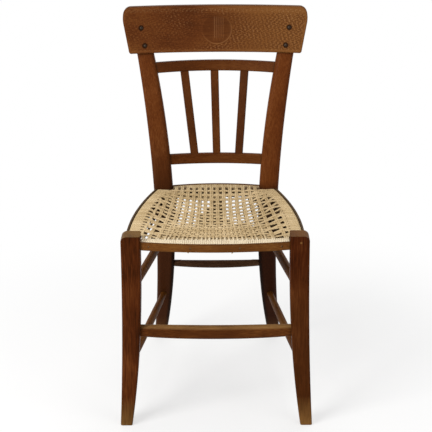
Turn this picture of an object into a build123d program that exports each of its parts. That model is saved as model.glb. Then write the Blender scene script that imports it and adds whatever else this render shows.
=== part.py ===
from build123d import *
import os
from math import sqrt

# A side chair with a bowed crest board, a spindle back and a seat woven of cord.
# X runs across the chair, the front faces -Y, and Z is up from the floor.
# Left and right are as seen from the front. Lengths are in millimetres.

# Fits
fit_clearance = 0.1  # all round a tenon, a peg or a shank in its hole
cord_clearance = 0.2  # between the woven cord and the wood that it lies on
overrun = 5  # how far a cut runs past what it cuts

# Front legs, square in section, which taper and splay towards the feet
leg_height = 461
leg_inner_spread = 162.5  # from the mid plane to a leg's inner face at its top
leg_inner_splay = 29
leg_inner_power = 2.4
leg_outer_spread = 204.8
leg_outer_splay = 13.5
leg_outer_power = 2.1
leg_thickness = 39
leg_foot_thickness = 28
leg_taper_power = 3.4
leg_arris_radius = 4
leg_crown_radius = 13  # rounding of the outer top edge
foot_round = 2.5
leg_station_shares = (0, 0.13, 0.27, 0.41, 0.56, 0.77, 1)

# Rear posts, each one piece from the foot to the crest
post_height = 868
post_spread = 126  # from the mid plane to a post's centre line where the posts are closest
post_narrow_height = 330
post_top_flare = 62
post_foot_flare = 24.5
post_depth = 383  # centre line behind the front legs' front faces, where it is foremost
post_fore_height = 420
post_top_rake = 78
post_foot_rake = 99
post_width = 46.4
post_thickness = 35
post_top_width = 35
post_top_thickness = 30
post_taper_power = 2
post_foot_width = 30
post_foot_thickness = 28
post_corner_share = 0.33
post_station_shares = (0, 0.085, 0.2, 0.335, 0.515, 0.69, 0.87, 1)

# Seat, whose plan is bounded by a front, a rear and two side arcs
seat_height = 446
seat_front_inset = 7  # behind the legs' front faces, at the legs
seat_front_bow = 15.5
seat_rear_depth = 396
seat_rear_bow = 13.5
seat_side_front_spread = 197
seat_side_rear_spread = 148
seat_side_bow = 13.5

# Seat rails, hidden in the cord, with the cord and the edge strips round them
rail_height = 12
rail_width = 22
rail_tenon_height = 8
rail_tenon_width = 12
rail_tenon_setback = 4  # from the rail's outer face to the tenon's
front_rail_tenon_length = 14
rear_rail_tenon_length = 14
side_rail_tenon_width = 9
side_rail_tenon_setback = 0.5
side_rail_tenon_length = 20
cord_thickness = 3
strip_thickness = 4

# Openings of the woven net: rows from the rear forward, columns across
net_row_count = 16
net_rear_depth = 366  # middle of the rear row
net_front_depth = 46
net_row_gain = 0.5  # by how much of the mean pitch the rows stand wider at the rear and closer in front
net_rear_pitch = 14.3
net_front_pitch = 17
net_strand_width = 7
net_gap_share = 0.45
net_border = 34
under_slots = range(-8, 8)
under_slot_pitch = 16
under_slot_width = 7

# Crest board, screwed to the front of the posts
crest_low = 772
crest_height = 105
crest_length = 440
crest_low_length = 408
crest_top_length = 433
crest_wide_share = 0.74
crest_thickness = 14.5
crest_bow = 22
crest_let_in = 6
crest_corner_radius = 17
crest_low_corner_radius = 6
crest_side_radius = 60
crest_arris_radius = 2

# Crest screws
screw_places = ((167.4, 17.5), (176, 57.5))  # from the mid plane, and above the crest's lower edge
screw_head_radius = 4.5
screw_head_height = 2.6
screw_shank_radius = 2.2
screw_length = 30
screw_recess = 1.2

# Back rails and spindles
back_rail_thickness = 14
back_rail_arris_radius = 3
upper_rail_low = 722.5
upper_rail_height = 24.5
upper_rail_bow = 25
lower_rail_low = 503
lower_rail_height = 24.5
lower_rail_bow = 11
back_tenon_thickness = 8
back_tenon_height = 17
back_tenon_length = 15
spindle_top_spread = 73.2
spindle_low_spread = 53.2
spindle_top_shift = -2.7  # the spindles stand a little aslant
spindle_low_shift = 2.1
spindle_top_width = 19.5
spindle_low_width = 18.5
spindle_thickness = 9
spindle_arris_radius = 1.5
spindle_seat = 9  # how deep a spindle stands in each rail

# Front stretcher
front_stretcher_height = 231
front_stretcher_tall = 30.5
front_stretcher_thick = 24
front_stretcher_round = 10
front_stretcher_bow = 10
front_stretcher_tenon_tall = 18
front_stretcher_tenon_thick = 10
front_stretcher_tenon_length = 16
stretcher_station_shares = (-1.04, -0.52, 0, 0.52, 1.04)
stretcher_section_shares = (0.84, 0.98, 1, 0.98, 0.84)

# Turned stretchers: height at the front leg and at the post, end and middle radius
upper_side_front_height = 328
upper_side_rear_height = 324
upper_side_end_radius = 8.5
upper_side_middle_radius = 10
lower_side_height = 149
lower_side_end_radius = 7.5
lower_side_middle_radius = 9
rear_stretcher_height = 237.5
rear_stretcher_end_radius = 7.7
rear_stretcher_middle_radius = 9.8
rear_stretcher_bow = 9
rear_peg_length = 18
rear_station_shares = (-1, -0.5, 0, 0.5, 1)
peg_length = 22  # straight end of a turned stretcher, from a leg's or post's centre line

# Strip nails
nail_head_radius = 2.2
nail_head_height = 1
nail_shank_radius = 0.8
nail_bite = 9  # how far a nail goes into the rail
front_nail_shares = (-0.9, -0.33, 0.33, 0.9)
side_nail_shares = (0.06, 0.28, 0.5, 0.72, 0.94)
rear_nail_shares = (-0.85, 0, 0.85)


# Centre lines and sections of the legs and posts
def leg_inner_at(height):
    """Distance from the mid plane to a front leg's inner face."""
    return leg_inner_spread + leg_inner_splay * (1 - height / leg_height) ** leg_inner_power


def leg_outer_at(height):
    """Distance from the mid plane to a front leg's outer face."""
    return leg_outer_spread + leg_outer_splay * (1 - height / leg_height) ** leg_outer_power


def leg_spread_at(height):
    """Distance from the mid plane to a front leg's centre line."""
    return (leg_inner_at(height) + leg_outer_at(height)) / 2


def leg_section_at(height):
    """Width and thickness of a front leg, least at the foot."""
    taper = (1 - height / leg_height) ** leg_taper_power
    thickness = leg_thickness - (leg_thickness - leg_foot_thickness) * taper
    return leg_outer_at(height) - leg_inner_at(height), thickness


def post_spread_at(height):
    """Distance from the mid plane to a post's centre line, a parabola each way from its narrow place."""
    if height < post_narrow_height:
        return post_spread + post_foot_flare * (1 - height / post_narrow_height) ** 2
    rise = (height - post_narrow_height) / (post_height - post_narrow_height)
    return post_spread + post_top_flare * rise**2


def post_depth_at(height):
    """Depth of a post's centre line, a parabola each way from its foremost place."""
    if height < post_fore_height:
        return post_depth + post_foot_rake * (1 - height / post_fore_height) ** 2
    rise = (height - post_fore_height) / (post_height - post_fore_height)
    return post_depth + post_top_rake * rise**2


def post_section_at(height):
    """Width and thickness of a post, fullest at the seat, less at the top and least at the foot."""
    if height < seat_height:
        drop = (1 - height / seat_height) ** 2
        width = post_width - (post_width - post_foot_width) * drop
        thickness = post_thickness - (post_thickness - post_foot_thickness) * drop
    else:
        rise = (height - seat_height) / (post_height - seat_height)
        width = post_width - (post_width - post_top_width) * rise**post_taper_power
        thickness = post_thickness - (post_thickness - post_top_thickness) * rise
    return width, thickness


def post_inner_at(height):
    """Distance from the mid plane to a post's inner face."""
    return post_spread_at(height) - post_section_at(height)[0] / 2


def post_front_at(height):
    """Depth of a post's front face."""
    return post_depth_at(height) - post_section_at(height)[1] / 2


def arc_radius(half_chord, bow):
    """Radius of an arc from half its chord and its bow."""
    return (half_chord**2 + bow**2) / (2 * bow)


def arc_fall(radius, offset):
    """How far an arc has fallen back from its middle at an offset across it."""
    return radius - sqrt(radius**2 - offset**2)


# The origin is on the floor, midway between the foremost and the rearmost point
front_reach = seat_front_bow - seat_front_inset
rear_reach = post_depth_at(0) + post_foot_thickness / 2
origin_depth = (rear_reach - front_reach) / 2


def y_at(depth):
    """Y of a depth measured back from the front faces of the front legs."""
    return depth - origin_depth


# Heights in the seat, worked out from the top of the cord downwards
rail_high = seat_height - cord_thickness - cord_clearance
rail_low = rail_high - rail_height
seat_low = rail_low - cord_clearance - cord_thickness
rail_middle = (rail_high + rail_low) / 2
cord_inset = strip_thickness + cord_clearance
rail_inset = cord_inset + cord_thickness + cord_clearance

# Arcs of the seat's plan, each as the centre and radius of its circle
front_half_chord = leg_inner_at(seat_height)
front_arc_radius = arc_radius(front_half_chord, seat_front_bow)
front_arc_centre = Vector(0, y_at(front_arc_radius - front_reach))
rear_half_chord = post_inner_at(seat_height)
rear_arc_radius = arc_radius(rear_half_chord, seat_rear_bow)
rear_arc_centre = Vector(0, y_at(seat_rear_depth + seat_rear_bow - rear_arc_radius))
side_front = Vector(seat_side_front_spread, y_at(leg_thickness))
side_rear = Vector(seat_side_rear_spread, y_at(post_front_at(seat_height)))
side_chord = side_rear - side_front
side_outward = side_chord.normalized().rotate(Axis.Z, -90)
side_arc_radius = arc_radius(side_chord.length / 2, seat_side_bow)
side_arc_centre = (side_front + side_rear) / 2 + side_outward * (seat_side_bow - side_arc_radius)


# Blanks of the legs and posts, before their joints are cut
def leg_blank(grow):
    """The right front leg, each side moved out by grow."""
    with BuildPart() as blank:
        for share in leg_station_shares:
            height = share * leg_height
            width, thickness = leg_section_at(height)
            with BuildSketch(Plane.XY.offset(height)):
                with Locations((leg_spread_at(height), y_at(thickness / 2))):
                    RectangleRounded(width + 2 * grow, thickness + 2 * grow, leg_arris_radius)
        loft()
        fillet(blank.edges().group_by(Axis.Z)[0], radius=foot_round)
        crown_centre = leg_outer_at(leg_height) - leg_crown_radius
        with BuildSketch(Plane.XZ):
            with Locations((crown_centre, leg_height - leg_crown_radius)):
                corner = leg_crown_radius + overrun
                Rectangle(corner, corner, align=(Align.MIN, Align.MIN))
                Circle(leg_crown_radius, mode=Mode.SUBTRACT)
        extrude(amount=origin_depth + overrun, both=True, mode=Mode.SUBTRACT)
    return blank.part


def post_blank(grow):
    """The right rear post, each side moved out by grow."""
    with BuildPart() as blank:
        for share in post_station_shares:
            height = share * post_height
            width, thickness = post_section_at(height)
            with BuildSketch(Plane.XY.offset(height)):
                with Locations((post_spread_at(height), y_at(post_depth_at(height)))):
                    corner = post_corner_share * thickness
                    RectangleRounded(width + 2 * grow, thickness + 2 * grow, corner)
        loft()
        fillet(blank.edges().group_by(Axis.Z)[0], radius=foot_round)
    return blank.part


def with_mirror_image(piece):
    """A right-hand piece together with its mirror image."""
    with BuildPart() as pair:
        add(piece)
        mirror(piece, about=Plane.YZ)
    return pair.part


legs = with_mirror_image(leg_blank(0))
posts = with_mirror_image(post_blank(0))


# Boards that are bowed back in plan and lean with the posts
def bowed_board(levels, radius, front, back, reach):
    """A board bowed to a radius, from front to back of its reference surface.

    levels gives the height of its lower and upper face, each with the depth of the
    reference surface on the mid plane. reach is how far the board goes each way in X.
    """
    with BuildPart() as board:
        for height, middle_depth in levels:
            middle = y_at(middle_depth)
            with BuildSketch(Plane.XY.offset(height)):
                with Locations((0, middle - radius)):
                    Circle(radius + back)
                    Circle(radius - front, mode=Mode.SUBTRACT)
                with Locations((0, middle)):
                    Rectangle(2 * reach, radius, mode=Mode.INTERSECT)
        loft(ruled=True)
    return board.part


def back_rail_levels(low, high, bow, inset):
    """Levels of a back rail, or of its tenon where inset is taken off above and below."""
    return [(height, post_depth_at(height) + bow) for height in (low + inset, high - inset)]


def back_rail(low, height, bow):
    """A back rail with its tenons, and the same tenons with their clearance."""
    high = low + height
    middle = low + height / 2
    half_span = post_inner_at(middle)
    radius = arc_radius(half_span, bow)
    half = back_rail_thickness / 2
    tenon_half = back_tenon_thickness / 2
    tenon_inset = (height - back_tenon_height) / 2
    tenon_reach = half_span + back_tenon_length
    with BuildPart() as rail:
        add(bowed_board(back_rail_levels(low, high, bow, 0), radius, half, half, post_spread_at(middle)))
        fillet(rail.edges().filter_by(GeomType.LINE, reverse=True), radius=back_rail_arris_radius)
        add(posts, mode=Mode.SUBTRACT)
        levels = back_rail_levels(low, high, bow, tenon_inset)
        add(bowed_board(levels, radius, tenon_half, tenon_half, tenon_reach))
    levels = back_rail_levels(low, high, bow, tenon_inset - fit_clearance)
    wide = tenon_half + fit_clearance
    mortises = bowed_board(levels, radius, wide, wide, tenon_reach + fit_clearance)
    return rail.part, mortises


def spindle(side, grow):
    """A flat spindle between the back rails, or its mortises' shape where grow is not zero.

    side is -1, 0 or 1. The spindle stands in both rails by its seat's depth.
    """
    upper_middle = upper_rail_low + spindle_seat
    lower_middle = lower_rail_low + lower_rail_height - spindle_seat
    upper_radius = arc_radius(post_inner_at(upper_rail_low + upper_rail_height / 2), upper_rail_bow)
    lower_radius = arc_radius(post_inner_at(lower_rail_low + lower_rail_height / 2), lower_rail_bow)
    upper_x = side * spindle_top_spread + spindle_top_shift
    lower_x = side * spindle_low_spread + spindle_low_shift
    upper_depth = post_depth_at(upper_middle) + upper_rail_bow - arc_fall(upper_radius, upper_x)
    lower_depth = post_depth_at(lower_middle) + lower_rail_bow - arc_fall(lower_radius, lower_x)
    foot = Vector(lower_x, y_at(lower_depth), lower_middle)
    head = Vector(upper_x, y_at(upper_depth), upper_middle)
    along = (head - foot).normalized()
    across = Vector(upper_radius, -upper_x)
    ends = ((foot - along * grow, spindle_low_width), (head + along * grow, spindle_top_width))
    with BuildPart() as bar:
        for end, width in ends:
            with BuildSketch(Plane(origin=end, x_dir=across, z_dir=along)):
                RectangleRounded(width + 2 * grow, spindle_thickness + 2 * grow, spindle_arris_radius)
        loft(ruled=True)
    return bar.part


upper_rail_blank, upper_rail_mortises = back_rail(upper_rail_low, upper_rail_height, upper_rail_bow)
lower_rail_blank, lower_rail_mortises = back_rail(lower_rail_low, lower_rail_height, lower_rail_bow)
sides = {"left": -1, "middle": 0, "right": 1}

with BuildPart() as upper_back_rail:
    add(upper_rail_blank)
    for side in sides.values():
        add(spindle(side, fit_clearance), mode=Mode.SUBTRACT)

with BuildPart() as lower_back_rail:
    add(lower_rail_blank)
    for side in sides.values():
        add(spindle(side, fit_clearance), mode=Mode.SUBTRACT)

with BuildPart() as back_spindle_left:
    add(spindle(sides["left"], 0))

with BuildPart() as back_spindle_middle:
    add(spindle(sides["middle"], 0))

with BuildPart() as back_spindle_right:
    add(spindle(sides["right"], 0))

# Crest board, whose back lies on a flat let into each post
crest_high = crest_low + crest_height
crest_radius = arc_radius(crest_length / 2, crest_bow)


def crest_back_at(height):
    """Depth of the crest's back on the mid plane."""
    return post_front_at(height) + crest_let_in + arc_fall(crest_radius, post_spread_at(height))


crest_levels = [(height, crest_back_at(height)) for height in (crest_low, crest_high)]
crest_lean = crest_back_at(crest_high) - crest_back_at(crest_low)
crest_outward = Vector(0, -crest_height, crest_lean).normalized()


def crest_screw_seat(side, spread, rise):
    """The plane under a screw's head, over a post and square to the crest's face."""
    height = crest_low + rise
    across = side * spread
    back = crest_back_at(crest_low) + crest_lean * rise / crest_height
    front = back - crest_thickness - arc_fall(crest_radius, across)
    origin = Vector(across, y_at(front), height) - crest_outward * screw_recess
    return Plane(origin=origin, x_dir=(1, 0, 0), z_dir=crest_outward)


def fastener(head_radius, head_height, shank_radius, shank_length):
    """A domed head on a shank, with the underside of the head in the XY plane."""
    with BuildPart() as turned:
        with BuildSketch(Plane.XZ):
            with BuildLine():
                shank_end = (shank_radius, -shank_length)
                Polyline((0, head_height), (0, -shank_length), shank_end, (shank_radius, 0), (head_radius, 0))
                TangentArc((0, head_height), (head_radius, 0), tangent=(1, 0))
            make_face()
        revolve(axis=Axis.Z)
    return turned.part


screw_seats = [crest_screw_seat(side, *place) for side in (-1, 1) for place in screw_places]

with BuildPart() as crest_rail:
    add(bowed_board(crest_levels, crest_radius, crest_thickness, 0, crest_length / 2))
    with BuildSketch(Plane.XZ):
        with BuildLine():
            low_corner = (crest_low_length / 2, crest_low)
            wide_corner = (crest_length / 2, crest_low + crest_wide_share * crest_height)
            top_corner = (crest_top_length / 2, crest_high)
            radii = (crest_low_corner_radius, crest_side_radius, crest_corner_radius)
            FilletPolyline((0, crest_low), low_corner, wide_corner, top_corner, (0, crest_high), radius=radii)
            mirror(about=Plane.YZ)
        make_face()
    extrude(amount=rear_reach, both=True, mode=Mode.INTERSECT)
    crest_front = crest_rail.faces().sort_by(SortBy.AREA)[-2:].sort_by(Axis.Y)[0]
    fillet(crest_front.edges(), radius=crest_arris_radius)
    with Locations(*[seat.offset(overrun) for seat in screw_seats]):
        head_hole = screw_head_radius + fit_clearance
        CounterBoreHole(screw_shank_radius + fit_clearance, head_hole, overrun, screw_length + overrun)

with BuildPart() as crest_screws:
    screw = fastener(screw_head_radius, screw_head_height, screw_shank_radius, screw_length)
    with Locations(*screw_seats):
        add(screw)


# Front stretcher, bowed forward, with square tenons
def front_stretcher_tenons(grow):
    """Both tenons of the front stretcher, each side moved out by grow."""
    leg_middle = y_at(leg_section_at(front_stretcher_height)[1] / 2)
    root = leg_inner_at(front_stretcher_height) - front_stretcher_tenon_length
    with BuildPart() as tenons:
        with BuildSketch(Plane.YZ.offset(root)):
            with Locations((leg_middle, front_stretcher_height)):
                Rectangle(front_stretcher_tenon_thick + 2 * grow, front_stretcher_tenon_tall + 2 * grow)
        extrude(amount=2 * front_stretcher_tenon_length + grow)
        mirror(about=Plane.YZ)
    return tenons.part


with BuildPart() as front_stretcher:
    end_depth = leg_section_at(front_stretcher_height)[1] / 2
    for share, size_share in zip(stretcher_station_shares, stretcher_section_shares):
        middle = y_at(end_depth - front_stretcher_bow * (1 - share**2))
        with BuildSketch(Plane.YZ.offset(share * leg_inner_at(front_stretcher_height))):
            with Locations((middle, front_stretcher_height)):
                thick = size_share * front_stretcher_thick
                RectangleRounded(thick, size_share * front_stretcher_tall, size_share * front_stretcher_round)
    loft()
    add(legs, mode=Mode.SUBTRACT)
    add(front_stretcher_tenons(0))


# Turned stretchers, whose straight ends stand in round holes
def turned_stretcher(start, end, end_radius, middle_radius):
    """A round bar from one centre line to another, swelled to its middle, and its two holes."""
    span = end - start
    with BuildPart() as bar:
        with BuildSketch(Plane(origin=start, x_dir=span, z_dir=span.cross(Vector(0, 0, 1)))):
            with BuildLine():
                near = (peg_length, end_radius)
                far = (span.length - peg_length, end_radius)
                middle = (span.length / 2, middle_radius)
                ThreePointArc(near, middle, far)
                Polyline(far, (span.length, end_radius), (span.length, 0), (0, 0), (0, end_radius), near)
            make_face()
        revolve(axis=Axis(start, span))
    with BuildPart() as holes:
        for origin, direction in ((start, span), (end, -span)):
            with BuildSketch(Plane(origin=origin, z_dir=direction).offset(-fit_clearance)):
                Circle(end_radius + fit_clearance)
            extrude(amount=peg_length + overrun)
    return bar.part, holes.part


def side_stretcher(front_height, rear_height, end_radius, middle_radius):
    """A right-hand side stretcher, from the front leg's centre line to the post's, and its holes."""
    leg_middle = y_at(leg_section_at(front_height)[1] / 2)
    start = Vector(leg_spread_at(front_height), leg_middle, front_height)
    end = Vector(post_spread_at(rear_height), y_at(post_depth_at(rear_height)), rear_height)
    return turned_stretcher(start, end, end_radius, middle_radius)


upper_side_bar, upper_side_holes = side_stretcher(
    upper_side_front_height, upper_side_rear_height, upper_side_end_radius, upper_side_middle_radius
)
lower_side_bar, lower_side_holes = side_stretcher(
    lower_side_height, lower_side_height, lower_side_end_radius, lower_side_middle_radius
)

with BuildPart() as upper_side_stretcher_right:
    add(upper_side_bar)

with BuildPart() as upper_side_stretcher_left:
    mirror(upper_side_bar, about=Plane.YZ)

with BuildPart() as lower_side_stretcher_right:
    add(lower_side_bar)

with BuildPart() as lower_side_stretcher_left:
    mirror(lower_side_bar, about=Plane.YZ)


def rear_stretcher_pegs(grow):
    """The straight ends of the rear stretcher, in the posts, each face moved out by grow."""
    root = post_inner_at(rear_stretcher_height) - rear_peg_length
    with BuildPart() as pegs:
        with BuildSketch(Plane.YZ.offset(root)):
            with Locations((y_at(post_depth_at(rear_stretcher_height)), rear_stretcher_height)):
                Circle(rear_stretcher_end_radius + grow)
        extrude(amount=2 * rear_peg_length + grow)
        mirror(about=Plane.YZ)
    return pegs.part


with BuildPart() as rear_stretcher:
    reach = post_inner_at(rear_stretcher_height) + rear_peg_length / 2
    for share in rear_station_shares:
        middle = y_at(post_depth_at(rear_stretcher_height) - rear_stretcher_bow * (1 - share**2))
        swell = (rear_stretcher_middle_radius - rear_stretcher_end_radius) * (1 - share**2)
        with BuildSketch(Plane.YZ.offset(share * reach)):
            with Locations((middle, rear_stretcher_height)):
                Circle(rear_stretcher_end_radius + swell)
    loft()
    add(posts, mode=Mode.SUBTRACT)
    add(rear_stretcher_pegs(0))


# Seat rails and edge strips, which follow the arcs of the seat's plan
def arc_band(arc, inset, width, box, low, high):
    """A band along one arc of the seat's plan, within a box in plan and between two heights."""
    centre, radius = arc
    (left, front), (right, rear) = box
    with BuildPart() as band:
        with BuildSketch(Plane.XY.offset(low)):
            with Locations(centre):
                Circle(radius - inset)
                Circle(radius - inset - width, mode=Mode.SUBTRACT)
            with Locations((left, front)):
                Rectangle(right - left, rear - front, align=(Align.MIN, Align.MIN), mode=Mode.INTERSECT)
        extrude(amount=high - low)
    return band.part


leg_back = y_at(leg_thickness)
post_front = y_at(post_front_at(seat_height))
post_middle_x = post_spread_at(seat_height)
post_middle_y = y_at(post_depth_at(seat_height))
front_arc = (front_arc_centre, front_arc_radius)
rear_arc = (rear_arc_centre, rear_arc_radius)
side_arc = (side_arc_centre, side_arc_radius)
front_end = front_half_chord + overrun
front_box = ((-front_end, y_at(-front_reach)), (front_end, leg_back))
side_box = ((0, y_at(leg_thickness / 2)), (seat_side_front_spread, post_middle_y))
rear_box = ((-post_middle_x, post_front), (post_middle_x, y_at(rear_reach)))


def rail_tenons(arc, box, setback, width, grow):
    """The tenons of a seat rail, as a narrower band that runs on to the ends of a box."""
    (left, front), (right, rear) = box
    grown_box = ((left - grow, front - grow), (right + grow, rear + grow))
    half_height = rail_tenon_height / 2 + grow
    low, high = rail_middle - half_height, rail_middle + half_height
    return arc_band(arc, rail_inset + setback - grow, width + 2 * grow, grown_box, low, high)


def front_rail_tenons(grow):
    """The front rail's tenons, each face moved out by grow."""
    reach = front_half_chord + front_rail_tenon_length
    box = ((-reach, y_at(-front_reach)), (reach, leg_back))
    return rail_tenons(front_arc, box, rail_tenon_setback, rail_tenon_width, grow)


def rear_rail_tenons(grow):
    """The rear rail's tenons, each face moved out by grow."""
    reach = rear_half_chord + rear_rail_tenon_length
    box = ((-reach, post_front), (reach, y_at(rear_reach)))
    return rail_tenons(rear_arc, box, rail_tenon_setback, rail_tenon_width, grow)


def side_rail_tenons(grow):
    """The right side rail's tenons, each face moved out by grow."""
    near = (0, leg_back - side_rail_tenon_length)
    far = (seat_side_front_spread, post_front + side_rail_tenon_length)
    return rail_tenons(side_arc, (near, far), side_rail_tenon_setback, side_rail_tenon_width, grow)


# Nails through the edge strips and the cord into the rails
def nail_seat(arc, across, depth):
    """The plane under a nail's head, on an arc of the seat's plan and square to it."""
    centre, radius = arc
    outward = (Vector(across, depth) - centre).normalized()
    surface = centre + outward * radius
    return Plane(origin=(surface.X, surface.Y, rail_middle), z_dir=outward)


side_run = post_front - leg_back
front_nails = [nail_seat(front_arc, share * front_half_chord, y_at(-front_reach)) for share in front_nail_shares]
rear_nails = [nail_seat(rear_arc, share * rear_half_chord, y_at(seat_rear_depth)) for share in rear_nail_shares]
side_places = [leg_back + share * side_run for share in side_nail_shares]
side_nails = [nail_seat(side_arc, seat_side_front_spread, place) for place in side_places]
nail_length = rail_inset + nail_bite


def nail_holes(seats):
    """The holes of a row of nails, each open above its plane."""
    with BuildPart() as holes:
        with Locations(*[seat.offset(-nail_length - fit_clearance) for seat in seats]):
            hole_length = nail_length + fit_clearance + overrun
            bottom = (Align.CENTER, Align.CENTER, Align.MIN)
            Cylinder(nail_shank_radius + fit_clearance, hole_length, align=bottom)
    return holes.part


def nails(seats):
    """A row of nails."""
    nail = fastener(nail_head_radius, nail_head_height, nail_shank_radius, nail_length)
    with BuildPart() as row:
        with Locations(*seats):
            add(nail)
    return row.part


def seat_rail(arc, box, tenons, seats):
    """A seat rail, scribed to the wood at its ends, with its tenons and its nails' holes."""
    with BuildPart() as rail:
        add(arc_band(arc, rail_inset, rail_width, box, rail_low, rail_high))
        add(legs, mode=Mode.SUBTRACT)
        add(posts, mode=Mode.SUBTRACT)
        add(tenons)
        add(nail_holes(seats), mode=Mode.SUBTRACT)
    return rail.part


def edge_strip(arc, box, seats):
    """An edge strip, scribed to the wood at its ends, with its nails' holes."""
    with BuildPart() as strip:
        add(arc_band(arc, 0, strip_thickness, box, seat_low, seat_height))
        add(legs, mode=Mode.SUBTRACT)
        add(posts, mode=Mode.SUBTRACT)
        add(nail_holes(seats), mode=Mode.SUBTRACT)
    return strip.part


with BuildPart() as seat_rail_front:
    add(seat_rail(front_arc, front_box, front_rail_tenons(0), front_nails))

with BuildPart() as seat_rail_rear:
    add(seat_rail(rear_arc, rear_box, rear_rail_tenons(0), rear_nails))

with BuildPart() as seat_rail_right:
    add(seat_rail(side_arc, side_box, side_rail_tenons(0), side_nails))

with BuildPart() as seat_rail_left:
    mirror(seat_rail_right.part, about=Plane.YZ)

with BuildPart() as edge_strip_front:
    add(edge_strip(front_arc, front_box, front_nails))

with BuildPart() as edge_strip_rear:
    add(edge_strip(rear_arc, rear_box, rear_nails))

with BuildPart() as edge_strip_right:
    add(edge_strip(side_arc, side_box, side_nails))

with BuildPart() as edge_strip_left:
    mirror(edge_strip_right.part, about=Plane.YZ)

with BuildPart() as strip_nails:
    add(nails(front_nails + rear_nails))
    add(with_mirror_image(nails(side_nails)))


# Woven seat: a net above the rails and open strands below them, joined round the rim
def seat_plate(inset, low, high):
    """The seat's whole plan, drawn in by inset, between two heights."""
    with BuildPart() as plate:
        with BuildSketch(Plane.XY.offset(low)):
            with Locations(front_arc_centre):
                Circle(front_arc_radius - inset)
            with Locations(rear_arc_centre):
                Circle(rear_arc_radius - inset, mode=Mode.INTERSECT)
            with Locations(side_arc_centre):
                Circle(side_arc_radius - inset, mode=Mode.INTERSECT)
            with Locations((-side_arc_centre.X, side_arc_centre.Y)):
                Circle(side_arc_radius - inset, mode=Mode.INTERSECT)
        extrude(amount=high - low)
    return plate.part


def net_row_depth(share):
    """Depth of a row at a share of the way forward, with rows that close up towards the front."""
    forward = (1 + net_row_gain) * share - net_row_gain * share**2
    return net_rear_depth - (net_rear_depth - net_front_depth) * forward


def net_pitch_at(depth):
    """Distance between the front-to-back strands, which fan out a little towards the front."""
    share = (net_rear_depth - depth) / (net_rear_depth - net_front_depth)
    return net_rear_pitch + (net_front_pitch - net_rear_pitch) * share


def net_half_width_at(depth):
    """Distance from the mid plane to where the net's openings end, inside the border or the posts."""
    across = side_arc_centre.X + sqrt(side_arc_radius**2 - (y_at(depth) - side_arc_centre.Y) ** 2)
    if depth > post_front_at(seat_height) - net_border / 2:
        return rear_half_chord - cord_clearance - cord_thickness
    return across - net_border


with BuildPart() as seat_weave:
    add(seat_plate(cord_inset, seat_low, seat_height))
    inner_inset = cord_inset + cord_thickness
    add(seat_plate(inner_inset, rail_low - cord_clearance, rail_high + cord_clearance), mode=Mode.SUBTRACT)
    add(with_mirror_image(leg_blank(cord_clearance)), mode=Mode.SUBTRACT)
    add(with_mirror_image(post_blank(cord_clearance)), mode=Mode.SUBTRACT)
    add(nail_holes(front_nails + rear_nails), mode=Mode.SUBTRACT)
    add(with_mirror_image(nail_holes(side_nails)), mode=Mode.SUBTRACT)
    with BuildSketch(Plane.XY.offset(seat_height)):
        for row in range(net_row_count):
            share = row / (net_row_count - 1)
            depth = net_row_depth(share)
            row_pitch = (net_rear_depth - net_front_depth) / (net_row_count - 1)
            length = net_gap_share * row_pitch * (1 + net_row_gain - 2 * net_row_gain * share)
            pitch = net_pitch_at(depth)
            gap = pitch - net_strand_width
            columns = int((net_half_width_at(depth) - gap / 2) / pitch + 1 / 2)
            places = [((column + 1 / 2) * pitch, y_at(depth)) for column in range(-columns, columns)]
            with Locations(*places):
                Rectangle(gap, length)
    extrude(amount=-cord_thickness, mode=Mode.SUBTRACT)
    with BuildSketch(Plane.XY.offset(seat_low)):
        slot_front = leg_thickness
        slot_rear = net_rear_depth - net_border / 2
        places = [((slot + 1 / 2) * under_slot_pitch, y_at((slot_front + slot_rear) / 2)) for slot in under_slots]
        with Locations(*places):
            SlotOverall(slot_rear - slot_front, under_slot_width, rotation=90)
    extrude(amount=cord_thickness, mode=Mode.SUBTRACT)

# Legs and posts with their joints cut
with BuildPart() as front_leg_right:
    add(leg_blank(0))
    add(front_stretcher_tenons(fit_clearance), mode=Mode.SUBTRACT)
    add(upper_side_holes, mode=Mode.SUBTRACT)
    add(lower_side_holes, mode=Mode.SUBTRACT)
    add(front_rail_tenons(fit_clearance), mode=Mode.SUBTRACT)
    add(side_rail_tenons(fit_clearance), mode=Mode.SUBTRACT)

with BuildPart() as front_leg_left:
    mirror(front_leg_right.part, about=Plane.YZ)

with BuildPart() as rear_post_right:
    add(post_blank(0))
    add(bowed_board(crest_levels, crest_radius, post_thickness, 0, crest_length / 2), mode=Mode.SUBTRACT)
    with Locations(*screw_seats):
        Hole(screw_shank_radius + fit_clearance, screw_length + fit_clearance)
    add(upper_rail_mortises, mode=Mode.SUBTRACT)
    add(lower_rail_mortises, mode=Mode.SUBTRACT)
    add(upper_side_holes, mode=Mode.SUBTRACT)
    add(lower_side_holes, mode=Mode.SUBTRACT)
    add(rear_stretcher_pegs(fit_clearance), mode=Mode.SUBTRACT)
    add(rear_rail_tenons(fit_clearance), mode=Mode.SUBTRACT)
    add(side_rail_tenons(fit_clearance), mode=Mode.SUBTRACT)

with BuildPart() as rear_post_left:
    mirror(rear_post_right.part, about=Plane.YZ)

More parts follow.
